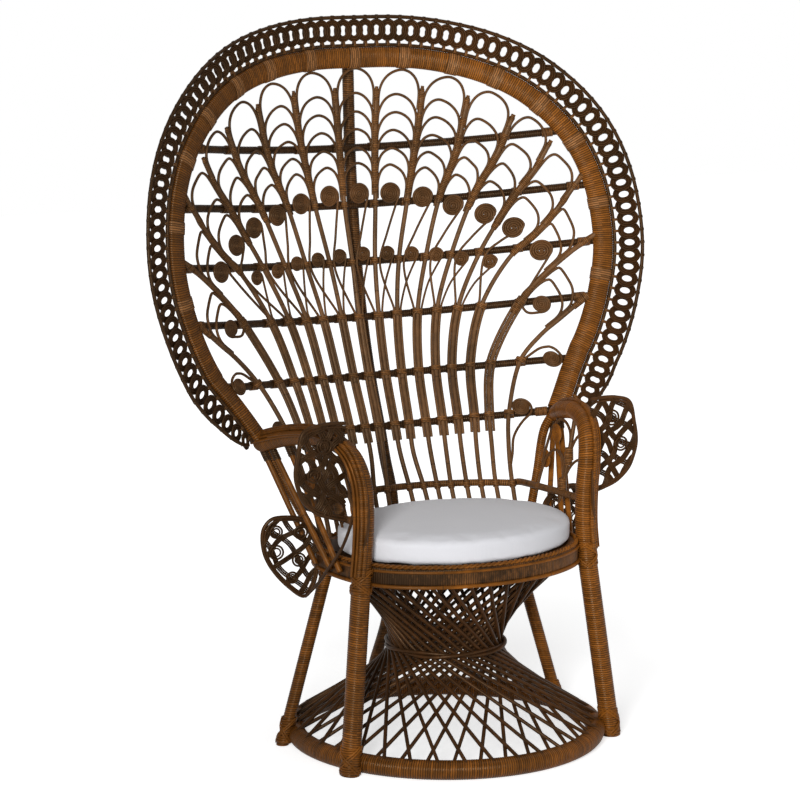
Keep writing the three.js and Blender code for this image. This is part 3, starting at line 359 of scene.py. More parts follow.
class Nodes:
    """A node tree that is built by calls."""

    def __init__(self, tree):
        self.tree = tree

    def feed(self, socket, value):
        if isinstance(value, Value):
            self.tree.links.new(value.socket, socket)
        else:
            socket.default_value = value

    def add(self, kind, inputs=None, **settings):
        made = self.tree.nodes.new(kind)
        for name, value in settings.items():
            setattr(made, name, value)
        for name, value in (inputs or {}).items():
            self.feed(made.inputs[name], value)
        return made

    def __call__(self, kind, inputs=None, out=0, **settings):
        """Adds a node and gives back one of its outputs."""
        return Value(self, self.add(kind, inputs, **settings).outputs[out])

    def geometry(self, kind, inputs=None, out=0, **settings):
        return self("GeometryNode" + kind, inputs, out, **settings)

    def maths(self, operation, *values):
        return self("ShaderNodeMath", dict(enumerate(values)), operation=operation)

    def combined(self, *axes):
        return self("ShaderNodeCombineXYZ", dict(enumerate(axes)))

    def mixed(self, factor, low, high):
        return self("ShaderNodeMix", {"Factor": factor, 6: low, 7: high}, 2, data_type="RGBA")

    def noise(self, place, scale, detail, **more):
        return self("ShaderNodeTexNoise", {"Vector": place, "Scale": scale, "Detail": detail, **more})

    def bump(self, height, distance, strength):
        return self("ShaderNodeBump", {"Height": height, "Distance": distance, "Strength": strength})

    def grouped(self, group, **inputs):
        """Places a node group, and gives back its outputs by name."""
        made = self.tree.nodes.new("ShaderNodeGroup")
        made.node_tree = group
        for name, value in inputs.items():
            self.feed(made.inputs[name], value)
        return {socket.name: Value(self, socket) for socket in made.outputs}

    def attribute(self, name, data_type="FLOAT"):
        return self.geometry("InputNamedAttribute", {"Name": name}, data_type=data_type)

    def stored(self, geometry, name, value, data_type="FLOAT", domain="POINT"):
        inputs = {"Geometry": geometry, "Name": name, "Value": value}
        return self.geometry("StoreNamedAttribute", inputs, data_type=data_type, domain=domain)

    def finished(self, shape, material_input, *attributes):
        """The shape made real, without its guiding attributes and with its material."""
        shape = self.geometry("RealizeInstances", {"Geometry": shape})
        for name in attributes:
            shape = self.geometry("RemoveAttribute", {"Geometry": shape, "Name": name})
        return self.geometry("SetMaterial", {"Geometry": shape, "Material": material_input})


def node_group(name, kind, inputs, outputs, build):
    """A node group that is made once. Build gets its nodes and its inputs, and gives back its outputs by name."""
    if name in bpy.data.node_groups:
        return bpy.data.node_groups[name]
    tree = bpy.data.node_groups.new(name, kind)
    for direction, sockets in (("INPUT", inputs), ("OUTPUT", outputs)):
        for title, socket_type, *default in sockets:
            socket = tree.interface.new_socket(title, in_out=direction, socket_type="NodeSocket" + socket_type)
            if default:
                socket.default_value = default[0]
    nodes = Nodes(tree)
    given = {socket.name: Value(nodes, socket) for socket in tree.nodes.new("NodeGroupInput").outputs if socket.name}
    result = tree.nodes.new("NodeGroupOutput").inputs
    for title, value in build(nodes, given).items():
        nodes.feed(result[title], value)
    return tree


def build_cane(nodes, given):
    """Tubes along runs of points, wound with a strip where the crown height isn't nothing."""
    geometry = nodes.geometry
    runs = geometry("MeshToCurve", {"Mesh": given["Geometry"]})
    runs = geometry("ResampleCurve", {"Curve": runs, "Length": given["Spacing"]}, mode="LENGTH")
    facing = nodes.attribute("facing", "FLOAT_VECTOR")
    runs = geometry("SetCurveNormal", {"Curve": runs, "Normal": facing}, mode="FREE")
    runs = nodes.stored(runs, "along", geometry("SplineParameter", out="Length"))

    ring = geometry("CurvePrimitiveCircle", {"Resolution": given["Sides"], "Radius": 1.0})
    ring = nodes.stored(ring, "turn", geometry("InputIndex"))
    squared = [
        axis.maths("SIGN") * axis.maths("ABSOLUTE").maths("POWER", given["Corner"])
        for axis in geometry("InputPosition").parts()[:2]
    ]
    place = nodes.combined(squared[0] * given["Depth"], squared[1])
    ring = geometry("SetPosition", {"Geometry": ring, "Position": place})
    tubes = geometry("CurveToMesh", {
        "Curve": runs, "Profile Curve": ring, "Scale": nodes.attribute("thick"), "Fill Caps": True})

    # The last face round a tube runs from the highest turn back to nothing, so its map needs a whole turn more
    turn, sides = nodes.attribute("turn"), given["Sides"]
    middle = geometry("FieldOnDomain", {0: turn}, domain="FACE", data_type="FLOAT")
    over = (middle - turn).maths("GREATER_THAN", 1.0)
    around = (turn + over * sides) / sides
    wound = nodes.attribute("along") / given["Pitch"]
    tubes = nodes.stored(tubes, "UVMap", nodes.combined(around, wound), "FLOAT2", "CORNER")

    edge = (wound + turn / sides).maths("FRACT") * 2.0 - 1.0
    rise = given["Crown"] * (1.0 - edge.maths("ABSOLUTE").maths("POWER", 2.5))
    tubes = geometry("SetPosition", {"Geometry": tubes, "Offset": geometry("InputNormal").scaled(rise)})
    here = geometry("InputPosition").parts()
    above_floor = nodes.combined(here[0], here[1], here[2].maths("MAXIMUM", 0.0))
    tubes = geometry("SetPosition", {"Geometry": tubes, "Position": above_floor})
    tubes = geometry("SetShadeSmooth", {"Geometry": tubes})
    return {"Geometry": nodes.finished(tubes, given["Material"], "along", "turn", "thick", "facing")}


def cane_tree():
    return node_group("cane along a path", "GeometryNodeTree", [
        ("Geometry", "Geometry"), ("Sides", "Int", 8), ("Spacing", "Float", 0.006), ("Depth", "Float", 1.0),
        ("Corner", "Float", 1.0), ("Pitch", "Float", 0.005), ("Crown", "Float", 0.0), ("Material", "Material"),
    ], [("Geometry", "Geometry")], build_cane)


def build_rings(nodes, given):
    """Flat rings of parallel strands set on points, each tilted to lie over the next."""
    geometry = nodes.geometry
    joined = nodes.add("GeometryNodeJoinGeometry")
    for place in (0.5, 1.5, 2.5):
        inset = given["Strand"] * place
        spans = [given[name] / 2.0 - inset for name in ("Length", "Width")]
        ring = geometry("CurvePrimitiveCircle", {"Resolution": 20, "Radius": 1.0})
        ring = geometry("Transform", {"Geometry": ring, "Scale": nodes.combined(*spans, 1.0)})
        nodes.feed(joined.inputs[0], ring)
    rise = geometry("InputPosition").parts()[0] * given["Tilt"]
    loops = {"Geometry": Value(nodes, joined.outputs[0]), "Offset": nodes.combined(0.0, 0.0, rise)}
    strand = geometry("CurvePrimitiveCircle", {"Resolution": 5, "Radius": given["Strand"] * 0.58})
    ring = geometry("CurveToMesh", {"Curve": geometry("SetPosition", loops), "Profile Curve": strand})
    ring = geometry("SetShadeSmooth", {"Geometry": ring})
    turned = nodes("FunctionNodeAxesToRotation", {
        "Primary Axis": nodes.attribute("facing", "FLOAT_VECTOR"),
        "Secondary Axis": nodes.attribute("ahead", "FLOAT_VECTOR"),
    }, primary_axis="Z", secondary_axis="X")
    narrowed = nodes.combined(1.0, nodes.attribute("thick") / given["Width"], 1.0)
    whole = geometry("InstanceOnPoints", {
        "Points": given["Geometry"], "Instance": ring, "Rotation": turned, "Scale": narrowed})
    return {"Geometry": nodes.finished(whole, given["Material"], "facing", "ahead", "thick")}


def ring_tree():
    return node_group("rings along a border", "GeometryNodeTree", [
        ("Geometry", "Geometry"), ("Length", "Float", 0.039), ("Width", "Float", 0.0475), ("Strand", "Float", 0.0043),
        ("Tilt", "Float", 0.24), ("Material", "Material"),
    ], [("Geometry", "Geometry")], build_rings)


# Paths

def smooth(table, position):
    """Reads smooth values out of a table of positions and values."""
    xs, ys = np.array(table, float).T
    x = np.asarray(position, float)
    last = len(xs) - 1
    i = np.clip(np.searchsorted(xs, x, side="right") - 1, 0, last - 1)
    low, high = np.maximum(i - 1, 0), np.minimum(i + 2, last)
    span = xs[i + 1] - xs[i]
    t = (x - xs[i]) / span
    start = (ys[i + 1] - ys[low]) / (xs[i + 1] - xs[low]) * span
    end = (ys[high] - ys[i]) / (xs[high] - xs[i]) * span
    rise = ys[i + 1] - ys[i]
    return ys[i] + t * (start + t * (3 * rise - 2 * start - end + t * (start + end - 2 * rise)))


def back_spot(across, along):
    """A spot on the hollow back."""
    across, along = np.asarray(across, float), np.asarray(along, float)
    share = np.clip((along - RADIUS_FROM) / (RADIUS_TO - RADIUS_FROM), 0, 1)
    radius = 1 / ((1 - share) / SEAT_BACK_RADIUS + share / BACK_RADIUS)
    wide = np.abs(across)
    reach = np.minimum(wide, STRAIGHT_FROM)
    root = np.sqrt(radius * radius - reach * reach)
    forward = radius - root + (wide - reach) * reach / root
    depth = smooth(BACK_DEPTHS, along) - forward * math.cos(RECLINE)
    height = SEAT_LINE + along * math.cos(RECLINE) + forward * math.sin(RECLINE)
    return np.stack([across, depth, height], -1)


def back_facing(across, along):
    """The way out of the front of the back at a spot."""
    right = back_spot(across + 1, along) - back_spot(across - 1, along)
    up = back_spot(across, along + 1) - back_spot(across, along - 1)
    return unit(np.cross(right, up))


def unit(vectors):
    return vectors / np.linalg.norm(vectors, axis=-1, keepdims=True)


def distances(path):
    """How far along its path each place is."""
    return np.r_[0, np.cumsum(np.linalg.norm(np.diff(path, axis=0), axis=1))]


def read_at(at, run, rows):
    """Rows of numbers read at distances along a run."""
    return np.column_stack([np.interp(at, run, column) for column in rows.T])


def evenly(path, step):
    """Places about a step apart along a path, and always both of its ends."""
    path = np.asarray(path, float)
    run = distances(path)
    at = np.linspace(0, run[-1], max(int(round(run[-1] / step)), 1) + 1)
    return read_at(at, run, path)


def curve(points, step=5, closed=False):
    """A smooth run through points."""
    p = np.array(points, float)
    ends = (p[-1:], p[:2]) if closed else ([2 * p[0] - p[1]], [2 * p[-1] - p[-2]])
    p = np.vstack([ends[0], p, ends[1]])
    pieces = []
    for a, b, c, d in zip(p, p[1:], p[2:], p[3:]):
        t1 = np.linalg.norm(b - a) ** 0.5
        t2 = t1 + np.linalg.norm(c - b) ** 0.5
        t3 = t2 + np.linalg.norm(d - c) ** 0.5
        t = np.linspace(t1, t2, 24, endpoint=False)[:, None]
        first = (t1 - t) / t1 * a + t / t1 * b
        second = (t2 - t) / (t2 - t1) * b + (t - t1) / (t2 - t1) * c
        third = (t3 - t) / (t3 - t2) * c + (t - t2) / (t3 - t2) * d
        near = (t2 - t) / t2 * first + t / t2 * second
        far = (t3 - t) / (t3 - t1) * second + (t - t1) / (t3 - t1) * third
        pieces.append((t2 - t) / (t2 - t1) * near + (t - t1) / (t2 - t1) * far)
    return evenly(np.vstack(pieces + [p[-2:-1]]), step)


# A run is its points, its thickness and the way that it faces

def on_back(path, thick, layer=0):
    """A run on the back from places across, along and, if given, in front."""
    path = np.asarray(path, float)
    facing = back_facing(path[:, 0], path[:, 1])
    lift = layer + (path[:, 2:3] if path.shape[1] > 2 else 0)
    return back_spot(path[:, 0], path[:, 1]) + facing * lift, thick, facing


def free(path, thick, facing=UP):
    path = np.asarray(path, float)
    return path, thick, np.broadcast_to(facing, path.shape)


def both(runs):
    """The runs, and the same runs on the other side of the chair."""
    flip = np.array([-1, 1, 1])
    return runs + [(points * flip, thick, facing * flip) for points, thick, facing in runs]


def circle(radius, height):
    """A level circle about the hoop's middle, and the way out of it."""
    turn = np.linspace(0, 2 * math.pi, 160, endpoint=False)
    out = np.column_stack([np.cos(turn), np.sin(turn), np.zeros(len(turn))])
    return out * radius + UP * height, out


def lapped(rows):
    """A closed run that goes on past its start, so that strands round it close."""
    return np.vstack([rows, rows[:2]])


def sided(name, side, number):
    return f"{name}_{'right' if side > 0 else 'left'}_{number}"


# Pieces

def wire(name, runs, closed=False, ahead=None):
    """A mesh of runs with their thickness and facing, or of loose points if the way ahead at each is given."""
    points = np.vstack([run[0] for run in runs]) * MM + HOOP_MIDDLE
    thick = np.concatenate([np.broadcast_to(np.asarray(run[1], float), len(run[0])) for run in runs]) * MM / 2
    edges, start = [], 0
    for run in runs:
        count = len(run[0])
        steps = np.arange(start, start + count - 1)
        edges.append(np.column_stack([steps, steps + 1]))
        if closed:
            edges.append(np.array([[start + count - 1, start]]))
        start += count
    mesh = bpy.data.meshes.new(name)
    mesh.from_pydata(points.tolist(), [] if ahead is not None else np.vstack(edges).tolist(), [])
    mesh.attributes.new("thick", "FLOAT", "POINT").data.foreach_set("value", thick.astype(np.float32))
    vectors = {"facing": np.vstack([run[2] for run in runs]), "ahead": ahead}
    for title, rows in vectors.items():
        if rows is not None:
            stored = mesh.attributes.new(title, "FLOAT_VECTOR", "POINT").data
            stored.foreach_set("vector", rows.astype(np.float32).ravel())
    made = bpy.data.objects.new(name, mesh)
    bpy.context.scene.collection.objects.link(made)
    return made


def evaluated_mesh(source):
    """The object's mesh with its modifiers applied."""
    bpy.context.view_layer.update()
    return bpy.data.meshes.new_from_object(source.evaluated_get(bpy.context.evaluated_depsgraph_get()))


def grown(source, tree, **inputs):
    """Runs a node tree on an object and keeps the result as a plain mesh."""
    modifier = source.modifiers.new("grow", "NODES")
    modifier.node_group = tree
    for item in tree.interface.items_tree:
        if item.item_type == "SOCKET" and item.in_out == "INPUT" and item.name in inputs:
            modifier[item.identifier] = inputs[item.name]
    mesh = evaluated_mesh(source)
    mesh.name = source.name
    source.modifiers.remove(modifier)
    source.data = mesh
    return source


def finish_piece(piece, body=CHAIR, replaces=()):
    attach(piece, body)
    if replaces:
        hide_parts(*replaces)


def canes(name, runs, finish, replaces=(), closed=False, sides=8, spacing=6, depth=1.0, corner=1.0, wrap=0,
          tie=0):
    """A piece made of tubes along runs.

    Wrap winds them with wide strips and tie with narrow ones. Either is how high the strips stand, as a share of the
    usual crown. Depth flattens the tubes from front to back, and a corner below 1 squares them.
    """
    strips = bpy.context.scene.wrap_sizes
    pitch = strips.pitch if wrap else strips.tie if tie else 0
    if pitch:
        spacing = pitch / MM / 4
    made = grown(wire(name, runs, closed), cane_tree(), Sides=sides, Spacing=spacing * MM, Depth=float(depth),
                 Corner=float(corner), Pitch=float(pitch or 1), Crown=float(strips.lift * (wrap or tie)),
                 Material=material(finish))
    finish_piece(made, replaces=replaces)


# Materials

def build_stain_and_shade(nodes, given):
    """Slow changes of stain over the object, on Object coordinates, and painted shade that darkens the chair's left
    side.
    """
    place = nodes("ShaderNodeTexCoord", out="Object")
    slow = nodes.noise(place, 9.0, 4.0, Roughness=0.6)
    fine = nodes.noise(place, 70.0, 3.0)
    # Painted shade: the chair's left side is darkened a little, standing in for the shadow that falls on it.
    left_shade = place.parts()[0].mapped(0.2, -0.5, 0.0, 0.2)
    patch = (slow * 0.65 + fine * 0.35 + left_shade).mapped(0.36, 0.64)
    deep = nodes.mixed(patch * given["Dark"] + left_shade, given["Colour"], STAIN_AND_SHADE_DARK)
    return {"Colour": nodes.mixed((1.0 - patch) * given["Warm"], deep, STAIN_WARM)}


# Every finish that uses this colour gets the stain and also the painted shade on the chair's left side.
def stained_and_shaded(nodes, name, dark, warm):
    group = node_group("uneven stain", "ShaderNodeTree", [
        ("Colour", "Color"), ("Dark", "Float", 0.5), ("Warm", "Float", 0.3),
    ], [("Colour", "Color")], build_stain_and_shade)
    return nodes.grouped(group, Colour=colour(name), Dark=dark, Warm=warm)["Colour"]


def build_strips(nodes, given):
    """Wound strips on the piece's UV map: each strip has its own tone, an edge mask for the painted shade in the
    grooves, and fine fibres.
    """
    around, along = nodes("ShaderNodeTexCoord", out="UV").parts()[:2]
    strip = along + around
    shade = nodes("ShaderNodeTexWhiteNoise", {"W": strip.maths("FLOOR")}, "Value", noise_dimensions="1D")
    across = (strip.maths("FRACT") * 2.0 - 1.0).maths("ABSOLUTE")
    groove = across.mapped(given["Edge"], 1.0)
    fibre = nodes.noise(nodes.combined(around * 6.0, strip * 9.0), 1.0, 3.0)
    return {"Shade": shade, "Groove": groove, "Height": fibre * 0.4 - groove}


def strip_group():
    return node_group("wound strips", "ShaderNodeTree", [("Edge", "Float", 0.3)], [
        ("Shade", "Float"), ("Groove", "Float"), ("Height", "Float"),
    ], build_strips)


def build_fibres(nodes, given):
    """Long fibres and the rings of the joints of a bare cane, on its UV map."""
    around, along = nodes("ShaderNodeTexCoord", out="UV").parts()[:2]
    fibre = nodes.noise(nodes.combined(around * 14.0, along * 22.0), 1.0, 4.0, Roughness=0.6)
    cycle = (along / given["Joint Spacing"] + 0.37).maths("FRACT") * given["Joint Spacing"]
    joint = cycle.maths("LESS_THAN", given["Joint Width"])
    return {"Shade": fibre, "Joint": joint, "Height": fibre - joint * 0.6}


def fibre_group():
    return node_group("cane fibres", "ShaderNodeTree", [
        ("Joint Spacing", "Float", 0.19), ("Joint Width", "Float", 0.0022),
    ], [("Shade", "Float"), ("Joint", "Float"), ("Height", "Float")], build_fibres)


def wrapped(name, dark, warm):
    """Wound strips with painted shade in the grooves between them."""
    def build(nodes):
        strips = nodes.grouped(strip_group())
        tone = stained_and_shaded(nodes, name, dark, warm).scaled(strips["Shade"].mapped(0.0, 1.0, 0.72, 1.28))
        return {
            # Painted shade: the grooves between strips are darkened almost to black.
            "Base Color": nodes.mixed(strips["Groove"] * 0.95, tone, GROOVE_SHADE),
            "Roughness": strips["Shade"] * 0.12 + 0.27,
            "Normal": nodes.bump(strips["Height"], 0.0004, 0.7),
            "Specular IOR Level": 0.22, "Specular Tint": LACQUER_TINT,
        }
    return build


def bare(name, dark, warm):
    """Lacquered cane with its long fibres and its joints."""
    def build(nodes):
        fibres = nodes.grouped(fibre_group())
        tone = stained_and_shaded(nodes, name, dark, warm).scaled(fibres["Shade"].mapped(0.3, 0.7, 0.7, 1.3))
        return {
            "Base Color": nodes.mixed(fibres["Joint"] * 0.6, tone, JOINT_DARK),
            "Roughness": fibres["Shade"] * 0.15 + 0.28,
            "Normal": nodes.bump(fibres["Height"], 0.0003, 0.5),
            "Specular IOR Level": 0.18, "Specular Tint": LACQUER_TINT,
        }
    return build


def plain_strands(nodes):
    """Dark strands too fine for a map of their own."""
    fine = nodes.noise(nodes("ShaderNodeTexCoord", out="Object"), 420.0, 2.0)
    return {
        "Base Color": stained_and_shaded(nodes, "dark", 0.45, 0.12).scaled(fine.mapped(0.3, 0.7, 0.7, 1.35)),
        "Roughness": fine * 0.2 + 0.35,
        "Normal": nodes.bump(fine, 0.0003, 0.4),
        "Specular IOR Level": 0.15, "Specular Tint": LACQUER_TINT,
    }


def cloth(nodes):
    """White woven cloth with slight creases."""
    place = nodes("ShaderNodeTexCoord", out="Object")
    base = nodes.mixed(nodes.noise(place, 6.0, 3.0), colour("cloth"), CLOTH_LIGHT)
    threads = {"Vector": place, "Scale": 300.0, "Distortion": 0.6, "Detail": 1.0}
    warp, weft = (nodes("ShaderNodeTexWave", threads, "Fac", bands_direction=axis) for axis in "XY")
    weave = warp * weft
    creases = nodes.noise(place, 11.0, 3.0, Distortion=1.6)
    return {
        "Base Color": nodes.mixed(weave * 0.08, base, CLOTH_THREAD),
        "Roughness": weave * 0.1 + 0.78,
        "Normal": nodes.bump(weave * 0.04 + creases, 0.004, 0.35),
        "Sheen Weight": 0.25,
    }


def pale_floor(nodes):
    """A floor that the camera sees as nearly white, with the chair's shadow on it, and as white further off."""
    seen = nodes.maths("MAXIMUM", nodes("ShaderNodeLightPath", out="Is Camera Ray"),
                       nodes("ShaderNodeLightPath", out="Is Glossy Ray") * SHEEN_LEVEL)
    place = nodes("ShaderNodeTexCoord", out="Object")
    away = nodes("ShaderNodeVectorMath", {0: place}, "Value", operation="LENGTH")
    glow = away.mapped(FLOOR_GLOW_FROM, FLOOR_GLOW_TO, FLOOR_GLOW, 1.0)
    return {
        "Base Color": colour("floor"), "Roughness": 0.9,
        "Emission Color": (1, 1, 1, 1), "Emission Strength": seen * glow,
    }


FINISHES = {
    "wrap": wrapped("wrap", 0.5, 0.3),
    "tie": wrapped("tie", 0.5, 0.25),
    "apron": wrapped("tie", 0.85, 0.3),
    "band": wrapped("band", 0.3, 0.2),
    "dark wrap": wrapped("dark", 0.4, 0.1),
    "stake": bare("wrap", 0.55, 0.2),
    "cane": bare("cane", 0.5, 0.12),
    "arch": bare("arch", 0.5, 0.15),
    "dark": bare("dark", 0.4, 0.08),
    "reed": bare("reed", 0.45, 0.12),
    "strands": plain_strands,
    "woven": plain_strands,
    "cloth": cloth,
    "floor": pale_floor,
}


def material(finish):
    """The material of one of the finishes, made when it is first asked for."""
    if finish in bpy.data.materials:
        return bpy.data.materials[finish]
    made = bpy.data.materials.new(finish)
    made.use_nodes = True
    nodes = Nodes(made.node_tree)
    shader = made.node_tree.nodes["Principled BSDF"]
    for name, value in FINISHES[finish](nodes).items():
        nodes.feed(shader.inputs[name], value)
    return made


# Runs of the back

def rib_points(number):
    run = [(across, line) for across, line in zip(RIB_RUNS[number], RIB_LINES)]
    return run + RIB_TIPS[number]


def rib_across(number, along):
    return smooth([(line, across) for across, line in rib_points(number)], along)


def rib_path(number, side, beyond=0, step=2):
    """Places along a rib, and on straight past its tip if asked."""
    path = curve(rib_points(number), step)
    if beyond:
        ahead = unit(path[-1] - path[-8])
        path = np.vstack([path, path[-1] + ahead * np.arange(step, beyond, step)[:, None]])
    return path * (side, 1)


def signed_ribs():
    """Ribs from left to right as their number and side."""
    count = len(RIB_RUNS)
    return [(n, -1) for n in reversed(range(count))] + [(n, 1) for n in range(count)]


def line_at(number, height):
    """How far along the back a rib reaches a height."""
    line = (height - SEAT_LINE) / math.cos(RECLINE)
    for _ in range(8):
        line += height - back_spot(rib_across(number, line), line)[2]
    return float(line)


def beside(path, distance):
    """The path moved sideways on the back, to the right of its way."""
    ahead = unit(np.gradient(path, axis=0))
    move = np.column_stack([ahead[:, 1], -ahead[:, 0]]) * distance
    if distance:
        moved = np.linalg.norm(back_spot(*(path + move).T) - back_spot(*path.T), axis=1)
        move *= abs(distance) / moved[:, None]
    return path + move


def part_of(path, low, high=math.inf):
    return path[(path[:, 1] >= low) & (path[:, 1] <= high)]


def down_from(crown, path):
    """A function that reads places at distances down a path from its nearest place to a crown."""
    step = np.linalg.norm(path[1] - path[0])
    level = int(np.argmin(np.linalg.norm(path - crown, axis=1)))
    return lambda distance: path[max(level - int(round(distance / step)), 0)]


def arch_points(own_path, next_path, crown):
    """A round arch between two ribs, its feet running on down beside both."""
    crown = np.array(crown, float)
    own, following = down_from(crown, own_path), down_from(crown, next_path)
    middle = (own(0) + following(0)) / 2
    span = np.linalg.norm(own(0) - following(0))
    rise = max(span * ARCH_RISE, ARCH_LEAST_RISE)
    hand = np.sign(following(0)[0] - own(0)[0])

    def spot(get, fall, reach, way):
        place = get(fall)
        ahead = unit(place - get(fall + 10))
        clear = place + np.array([-ahead[1], ahead[0]]) * way * hand * ARCH_CLEAR
        centre = (own(fall) + following(fall)) / 2 - middle + crown
        return centre + (clear - centre) * reach

    rows = [(rise + 26, 1), (rise + 13, 1)]
    rows += [(rise * (1 - math.sin(turn)), math.cos(turn)) for turn in ARCH_TURNS]
    up = [spot(own, fall, reach, -1) for fall, reach in rows]
    down = [spot(following, fall, reach, 1) for fall, reach in reversed(rows)]
    return np.array([*up, crown, *down]), rise


def all_arches():
    """Every arch as its points, its two ribs, and the line along the back where its feet join them."""
    found = []
    for number, crowns in enumerate(ARCH_CROWNS):
        for side in (1, -1) if number else (1,):
            own = (max(number - 1, 0), side)
            following = (number, side) if number else (0, -1)
            for across, along in crowns:
                paths = rib_path(*own, PAST_TIP), rib_path(*following, PAST_TIP)
                points, rise = arch_points(*paths, (side * across, along))
                found.append((points, (own, following), along - rise))
    return found


def scroll(start_path, through, centre, width, thick, layer):
    """A cane along its rib, then through the given places and wound into a scroll that lies a layer in front."""
    pitch = thick * WINDING_PITCH
    radius = (width - thick) / 2
    turns = (radius - 0.8) / pitch
    angle = np.linspace(0, turns * 2 * math.pi, int(turns * WINDING_STEPS))
    reach = radius - pitch * angle / (2 * math.pi)
    wound = np.column_stack([centre[0] + reach * np.cos(angle), centre[1] + reach * np.sin(angle)])
    start = start_path[:: max(len(start_path) // 6, 1)]
    stem = curve([*start, *through, wound[0], wound[0] + (0, 0.5)], 5)[:-1]
    rise = np.r_[np.linspace(0, 1, len(stem)) ** 2, np.ones(len(wound) - 1)] * layer
    size = np.r_[np.full(len(stem), thick), np.linspace(thick, pitch * 1.1, len(wound) - 1)]
    return on_back(np.column_stack([np.vstack([stem, wound[1:]]), rise]), size)


def plug(centre, layer):
    """The middle of a scroll, where the cane's end is tucked in."""
    out = back_facing(*centre)
    return free(back_spot(*centre) + out * np.array([[layer - 2.2], [layer], [layer + 1.5]]), 6.6, RIGHT)


def coil(radius, pitch, pitches):
    """The angle and the reach along a flat coil of four and a half turns, from its outside in."""
    return np.linspace(0, 9 * math.pi, 130), radius - pitch * np.linspace(0, pitches, 130)


def tie_run(place, ahead, out, length, width):
    """A short straight run for a binding, about a place on the chair."""
    half = unit(np.asarray(ahead, float)) * length / 2
    return free([place - half, place, place + half], width, out)


def tie_on_back(path, line, length, width, layer=0.0):
    """A binding round a rib where it crosses a line."""
    spot = int(np.argmin(np.abs(path[:, 1] - line)))
    near = path[[max(spot - 3, 0), spot, min(spot + 3, len(path) - 1)]]
    spots = back_spot(near[:, 0], near[:, 1])
    out = back_facing(*path[spot])
    return tie_run(spots[1] + out * layer, spots[2] - spots[0], out, length, width)


def rim_frames():
    """Places along the middle of the rim, the way that it faces and the way ahead."""
    left = [(-across, along) for across, along in reversed(RIM_LINE)]
    spots, _, facing = on_back(curve([*left, (0, RIM_CROWN), *RIM_LINE], RIM_STEP), 1, -4)
    ahead = unit(np.gradient(spots, axis=0))
    return spots, np.cross(ahead, unit(np.cross(facing, ahead))), ahead


# Runs of the seat, the base and the posts

def helix(foot, head, radius, low, high, turns, phase, thick):
    """A strip wound round a post between two shares of its length."""
    foot, head = np.array(foot, float), np.array(head, float)
    share = np.linspace(low, high, max(int(abs(turns) * 20), 8))[:, None]
    angle = phase + np.linspace(0, turns * 2 * math.pi, len(share))[:, None]
    out = np.column_stack([np.cos(angle), np.sin(angle), np.zeros(len(share))])
    return foot + (head - foot) * share + out * radius, thick, out


def crossed_binding(foot, head, radius, low, high, ends=3, crossings=2, thick=4.6):
    """A joint bound with rings of strip and crossed turns between them."""
    runs = []
    rise = thick * 1.05 / np.linalg.norm(np.subtract(head, foot))
    for start, way in ((low, 1), (high, -1)):
        runs.append(helix(foot, head, radius, start, start + way * rise * ends, ends, 0.3, thick))
    for i in range(crossings):
        for way in (1, -1):
            for phase in (0.8, 1.2):
                turn = i * 2 * math.pi / crossings + phase
                runs.append(helix(foot, head, radius + 1.2, low, high, way * 0.5, turn, thick))
    return runs


def ring_line(offset, height):
    """The seat ring's outline, moved out from its middle line, and the way out of it."""
    left = [(-x, y) for x, y in reversed(RING_LINE[1:-1])]
    path = curve(RING_LINE + left, 4, closed=True)[:-1]
    ahead = unit(np.roll(path, -1, axis=0) - np.roll(path, 1, axis=0))
    out = np.column_stack([ahead[:, 1], -ahead[:, 0], np.zeros(len(path))])
    return np.column_stack([path, np.full(len(path), height)]) + out * offset, out


def twisted(path, facing, radius, thick, twist):
    """Two strands twisted round each other along a closed path."""
    path, facing = lapped(path), lapped(facing)
    side = unit(np.cross(facing, unit(np.gradient(path, axis=0))))
    runs = []
    for phase in (0, math.pi):
        turn = (distances(path) / twist * 2 * math.pi + phase)[:, None]
        out = np.cos(turn) * facing + np.sin(turn) * side
        runs.append((path + out * radius, thick, out))
    return runs


def reed_run(turn, layer, thick):
    """A reed of the base: it touches the waist and is straight in plan."""
    waist = WAIST_RADIUS - layer * WAIST_STEP
    foot = REED_FOOT - layer * REED_FOOT_STEP
    top = REED_TOP - layer * REED_TOP_STEP
    out = np.array([math.cos(turn), math.sin(turn), 0])
    ahead = np.array([-math.sin(turn), math.cos(turn), 0]) * (1 if layer else -1)
    low = out * waist - ahead * math.sqrt(foot ** 2 - waist ** 2) + UP * REED_FOOT_HEIGHT
    middle = out * waist + UP * WAIST_HEIGHT
    high = (out * waist + ahead * math.sqrt(top ** 2 - waist ** 2)) * (REED_TOP_STRETCH, 1, 0)
    high += np.array([0, RING_CENTRE, RING_UNDERSIDE + 6])
    bend = [low, low * 0.2 + middle * 0.8, middle, middle * 0.8 + high * 0.2, high]
    return free(curve(bend, 12), thick, out)


def inside(polygon, places):
    """Which places lie inside an outline."""
    x, y = places[:, 0], places[:, 1]
    hits = np.zeros(len(places), bool)
    for (ax, ay), (bx, by) in zip(polygon, np.roll(polygon, -1, axis=0)):
        crosses = (ay > y) != (by > y)
        with np.errstate(divide="ignore", invalid="ignore"):
            hits ^= crosses & (x < (bx - ax) * (y - ay) / (by - ay) + ax)
    return hits


def stretches(polygon, path):
    """The parts of a path inside an outline."""
    kept = inside(polygon, path)
    starts = np.flatnonzero(np.diff(np.r_[0, kept.astype(int)]) == 1)
    ends = np.flatnonzero(np.diff(np.r_[kept.astype(int), 0]) == -1)
    return [path[a:b + 1] for a, b in zip(starts, ends) if b - a > 3]


